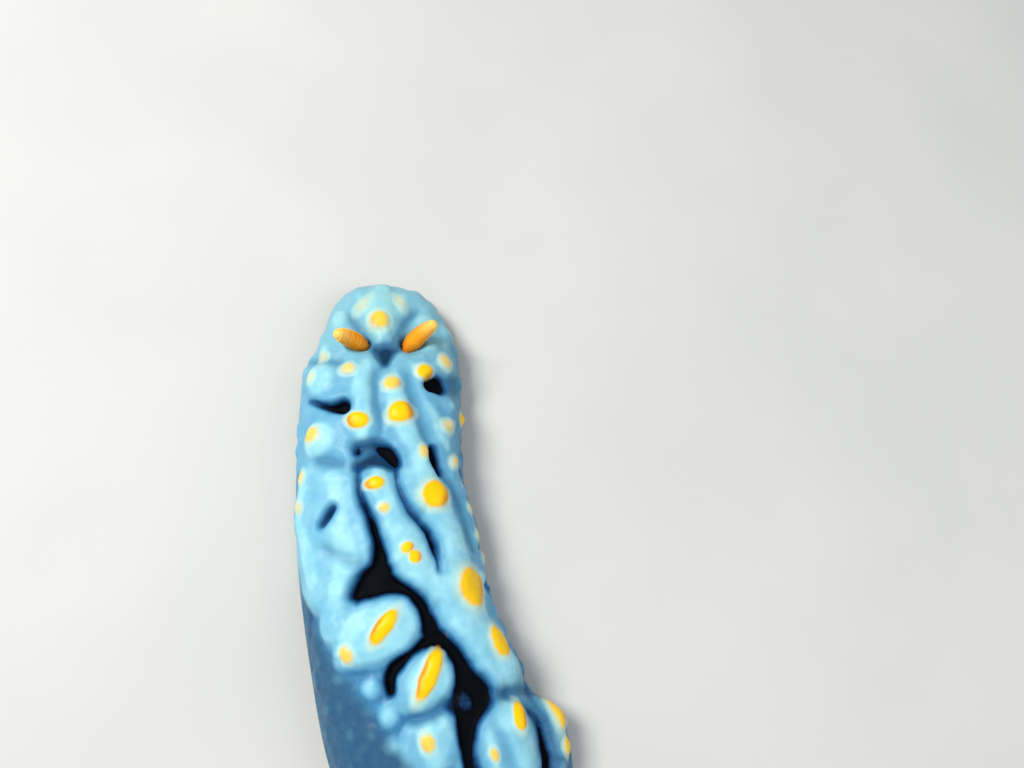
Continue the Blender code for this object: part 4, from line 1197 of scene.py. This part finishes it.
grey_paint = mottled_skin(
    "grey_underside", paint(96, 110, 121), paint(130, 143, 150), (0.5, 4.0), (2.5, 3.0)
)
print("nodes in the grey:", len(grey_paint.nodes))

# %% Model the head's bulb
HEAD_MIDDLE, HEAD_CLEARANCE = 7.5, 0.5
HEAD_HALF_WIDTH, HEAD_HALF_LENGTH, HEAD_HALF_HEIGHT = 3.5, 2.35, 1.35
MOUTH_HALF_WIDTH, MOUTH_HALF_HEIGHT = 0.75, 0.32

bpy.ops.object.select_all(action="DESELECT")
bpy.ops.mesh.primitive_uv_sphere_add(segments=40, ring_count=28, rotation=(math.pi / 2, 0.0, 0.0))
bulb = bpy.context.object
bulb.name = "head_bulb"
bpy.ops.object.transform_apply(location=False, rotation=True, scale=False)
bpy.ops.object.mode_set(mode="EDIT")
bpy.ops.mesh.select_all(action="SELECT")
bpy.ops.transform.resize(value=(HEAD_HALF_WIDTH, HEAD_HALF_LENGTH, HEAD_HALF_HEIGHT))
bpy.ops.mesh.select_all(action="DESELECT")
shape = bmesh.from_edit_mesh(bulb.data)
# Faces are only selected here, because deselecting one also lets go of the edges it shares
for face in shape.faces:
    middle = face.calc_center_median()
    from_mouth = math.hypot(middle.x / MOUTH_HALF_WIDTH, middle.z / MOUTH_HALF_HEIGHT)
    if middle.y < 0 and from_mouth < 1.0:
        face.select_set(True)
bmesh.update_edit_mesh(bulb.data)
for inward, share in ((-0.10, 1.0), (0.35, 0.78), (0.55, 0.8)):
    bpy.ops.mesh.extrude_region_move(TRANSFORM_OT_translate={"value": (0.0, inward, 0.0)})
    bpy.ops.transform.resize(value=(share, 1.0, share))
bpy.ops.object.mode_set(mode="OBJECT")
print("head bulb:", len(bulb.data.polygons), "faces")

# %% Set the bulb and the tentacles under the mantle
# A tentacle's root, and its steps: out to the side, ahead, and radius
TENTACLE_ALONG, TENTACLE_ASIDE, TENTACLE_HEIGHT = 7.7, 3.0, 1.1
TENTACLE = (
    (0.5, 0.0, 0.76), (1.0, 0.1, 0.76), (1.6, 0.32, 0.68), (2.2, 0.7, 0.54),
    (2.7, 1.15, 0.4), (3.0, 1.5, 0.26), (3.1, 1.7, 0.13),
)


def body_frame(along, aside, height):
    """A frame at a place, its X axis to the left and its Y axis to the tail."""
    x, y = plan(along, aside)
    turn = Matrix.Rotation(float(heading(along)), 4, "Z")
    return Matrix.Translation((float(x), float(y), height)) @ turn


place_piece(bulb, body_frame(HEAD_MIDDLE, 0.0, HEAD_CLEARANCE + HEAD_HALF_HEIGHT))
dress(bulb, grey_paint, "head", "head")
for name, side in (("left", 1), ("right", -1)):
    steps = [(0.0, -ahead, out, wide) for out, ahead, wide in TENTACLE]
    tentacle = grow("tentacle_" + name, 0.70, steps, sides=20)
    sideways = Matrix.Rotation(side * math.pi / 2, 4, "Y")
    root = body_frame(TENTACLE_ALONG, side * TENTACLE_ASIDE, TENTACLE_HEIGHT)
    place_piece(tentacle, root @ sideways)
    dress(tentacle, grey_paint, "oral_tentacle", "oral_tentacle_" + name)
    print(tentacle.name, len(tentacle.data.polygons), "faces")

# %% [markdown]
# ## The anal papilla
# Near the tail a short tube stands on the midline of the back. It is grown from a disc, and
# the last steps go back down inside it, so that the tube is open at the top.

# %% Grow the papilla
PAPILLA_PLACE, PAPILLA_SUNK = (71.5, 0.2), 0.9
pale_paint = mottled_skin(
    "papilla_skin", paint(70, 110, 142), paint(126, 166, 188), (1.2, 3.0), (3.0, 2.0)
)
left, _, out = back_directions(*PAPILLA_PLACE)
papilla = grow("anal_tube", 0.85, [
    (0, 0, 0.8, 0.82), (0, 0, 1.4, 0.76), (0, 0, 2.0, 0.74), (0, 0, 2.4, 0.70), (0, 0, 2.62, 0.60),
    (0, 0, 2.66, 0.50), (0, 0, 2.55, 0.42), (0, 0, 2.2, 0.36), (0, 0, 1.7, 0.28),
], sides=24)
place_piece(papilla, standing(on_back(*PAPILLA_PLACE) - PAPILLA_SUNK * out, out, left))
dress(papilla, pale_paint, "papilla", "anal_papilla")
print("papilla:", len(papilla.data.polygons), "faces")

# %% [markdown]
# ## The gills
# This slug breathes with thin leaves that hang in the groove between mantle and foot, all the
# way round. One leaf is a flattened sphere with few faces, because it is copied some two
# hundred times. The copies alternate between large and small and are joined into one mesh.

# %% Copy the leaves along both sides
GILL_START, GILL_END, GILL_PITCH, GILL_LOWEST = 11.5, 76.5, 0.56, 0.2
gill_draw = random.Random(5)


def gill_leaf_matrix(along, side, large):
    """Size, tilt and place of one leaf, which fills the groove from the foot to the margin."""
    width = float(half_width(along, side))
    inner, outer = 0.645 * width, 0.90 * width
    roof_in, roof_out = (float(roof_height(along, share)) for share in (0.66, 0.88))
    drop = min(roof_in - 0.5, 1.9) * (1.0 if large else 0.68) * gill_draw.uniform(0.9, 1.0)
    place = body_frame(along, side * (inner + outer) / 2, (roof_in + roof_out) / 2 - 0.30 * drop)
    slope = Matrix.Rotation(side * math.atan2(roof_in - roof_out, outer - inner), 4, "Y")
    sway = Matrix.Rotation(math.radians(gill_draw.uniform(-14, 14)), 4, "X")
    return place @ sway @ slope @ Matrix.Diagonal(((outer - inner) / 2, 0.11, 0.55 * drop, 1.0))


bpy.ops.object.select_all(action="DESELECT")
bpy.ops.mesh.primitive_uv_sphere_add(segments=10, ring_count=6, radius=1.0)
gill_leaf = bpy.context.object
copies = []
for side in (1, -1):
    along, large = GILL_START, True
    while along < GILL_END:
        copy = copy_of(gill_leaf)
        copy.data.transform(gill_leaf_matrix(along, side, large))
        lowest = min(vertex.co.z for vertex in copy.data.vertices)
        copy.data.transform(Matrix.Translation((0.0, 0.0, max(GILL_LOWEST - lowest, 0.0))))
        copies.append(copy)
        along += GILL_PITCH * gill_draw.uniform(0.92, 1.08)
        large = not large
bpy.data.objects.remove(gill_leaf)
gills = join(copies)
gills.name = "gill_leaves"
place_piece(gills, Matrix.Identity(4))
dress(gills, grey_paint, "mantle")
print("gill leaves:", len(copies))

# %% [markdown]
# ## Floor and light
# A museum photographs a model on pale paper under soft lamps. The strongest lamp stands to the
# upper left of the picture, where the light comes from in the photograph. A larger and weaker
# one fills the shadows from the right, a third lights the tail, and a grey world does the rest.

# %% Lay the floor
bpy.ops.object.select_all(action="DESELECT")
bpy.ops.mesh.primitive_plane_add(size=4.0, location=(0.0, 0.0, 0.0))
floor = bpy.context.object
floor.name = "paper_floor"
paper = Finish("pale_paper", Roughness=0.85)
clouds = (paper.noise(0.02, 3.0) * 2.0 + 0.5).step(0.0, 1.0)
grey = paper.mix(clouds, paint(205, 206, 204), paint(213, 213, 210))
paper.surface(grey, bump=paper.noise(1.5, 3.0), bump_depth=0.01)
floor.data.materials.append(paper.material)
print("floor at z =", floor.location.z)

# %% Hang the lamps
def lamp(name, place, aim, size, power, colour):
    bpy.ops.object.light_add(type="AREA", location=place)
    made = bpy.context.object
    made.name = name
    made.data.size = size
    made.data.energy = power
    made.data.color = colour
    made.rotation_euler = (Vector(aim) - Vector(place)).to_track_quat("-Z", "Y").to_euler()


lamp("key_lamp", (0.24, -0.14, 0.34), (0.0, 0.0, 0.0), 0.16, 2.05, (1.0, 0.98, 0.94))
lamp("fill_lamp", (-0.34, 0.10, 0.26), (0.0, 0.0, 0.0), 0.35, 0.65, (0.92, 0.96, 1.0))
lamp("rear_lamp", (0.05, 0.40, 0.20), (0.0, 0.0, 0.0), 0.30, 0.3, (1.0, 1.0, 1.0))

world = bpy.data.worlds.new("soft_world")
world.use_nodes = True
world.node_tree.nodes["Background"].inputs["Color"].default_value = (0.80, 0.84, 0.88, 1.0)
world.node_tree.nodes["Background"].inputs["Strength"].default_value = 0.32
bpy.context.scene.world = world
bpy.context.scene.view_settings.view_transform = "Standard"
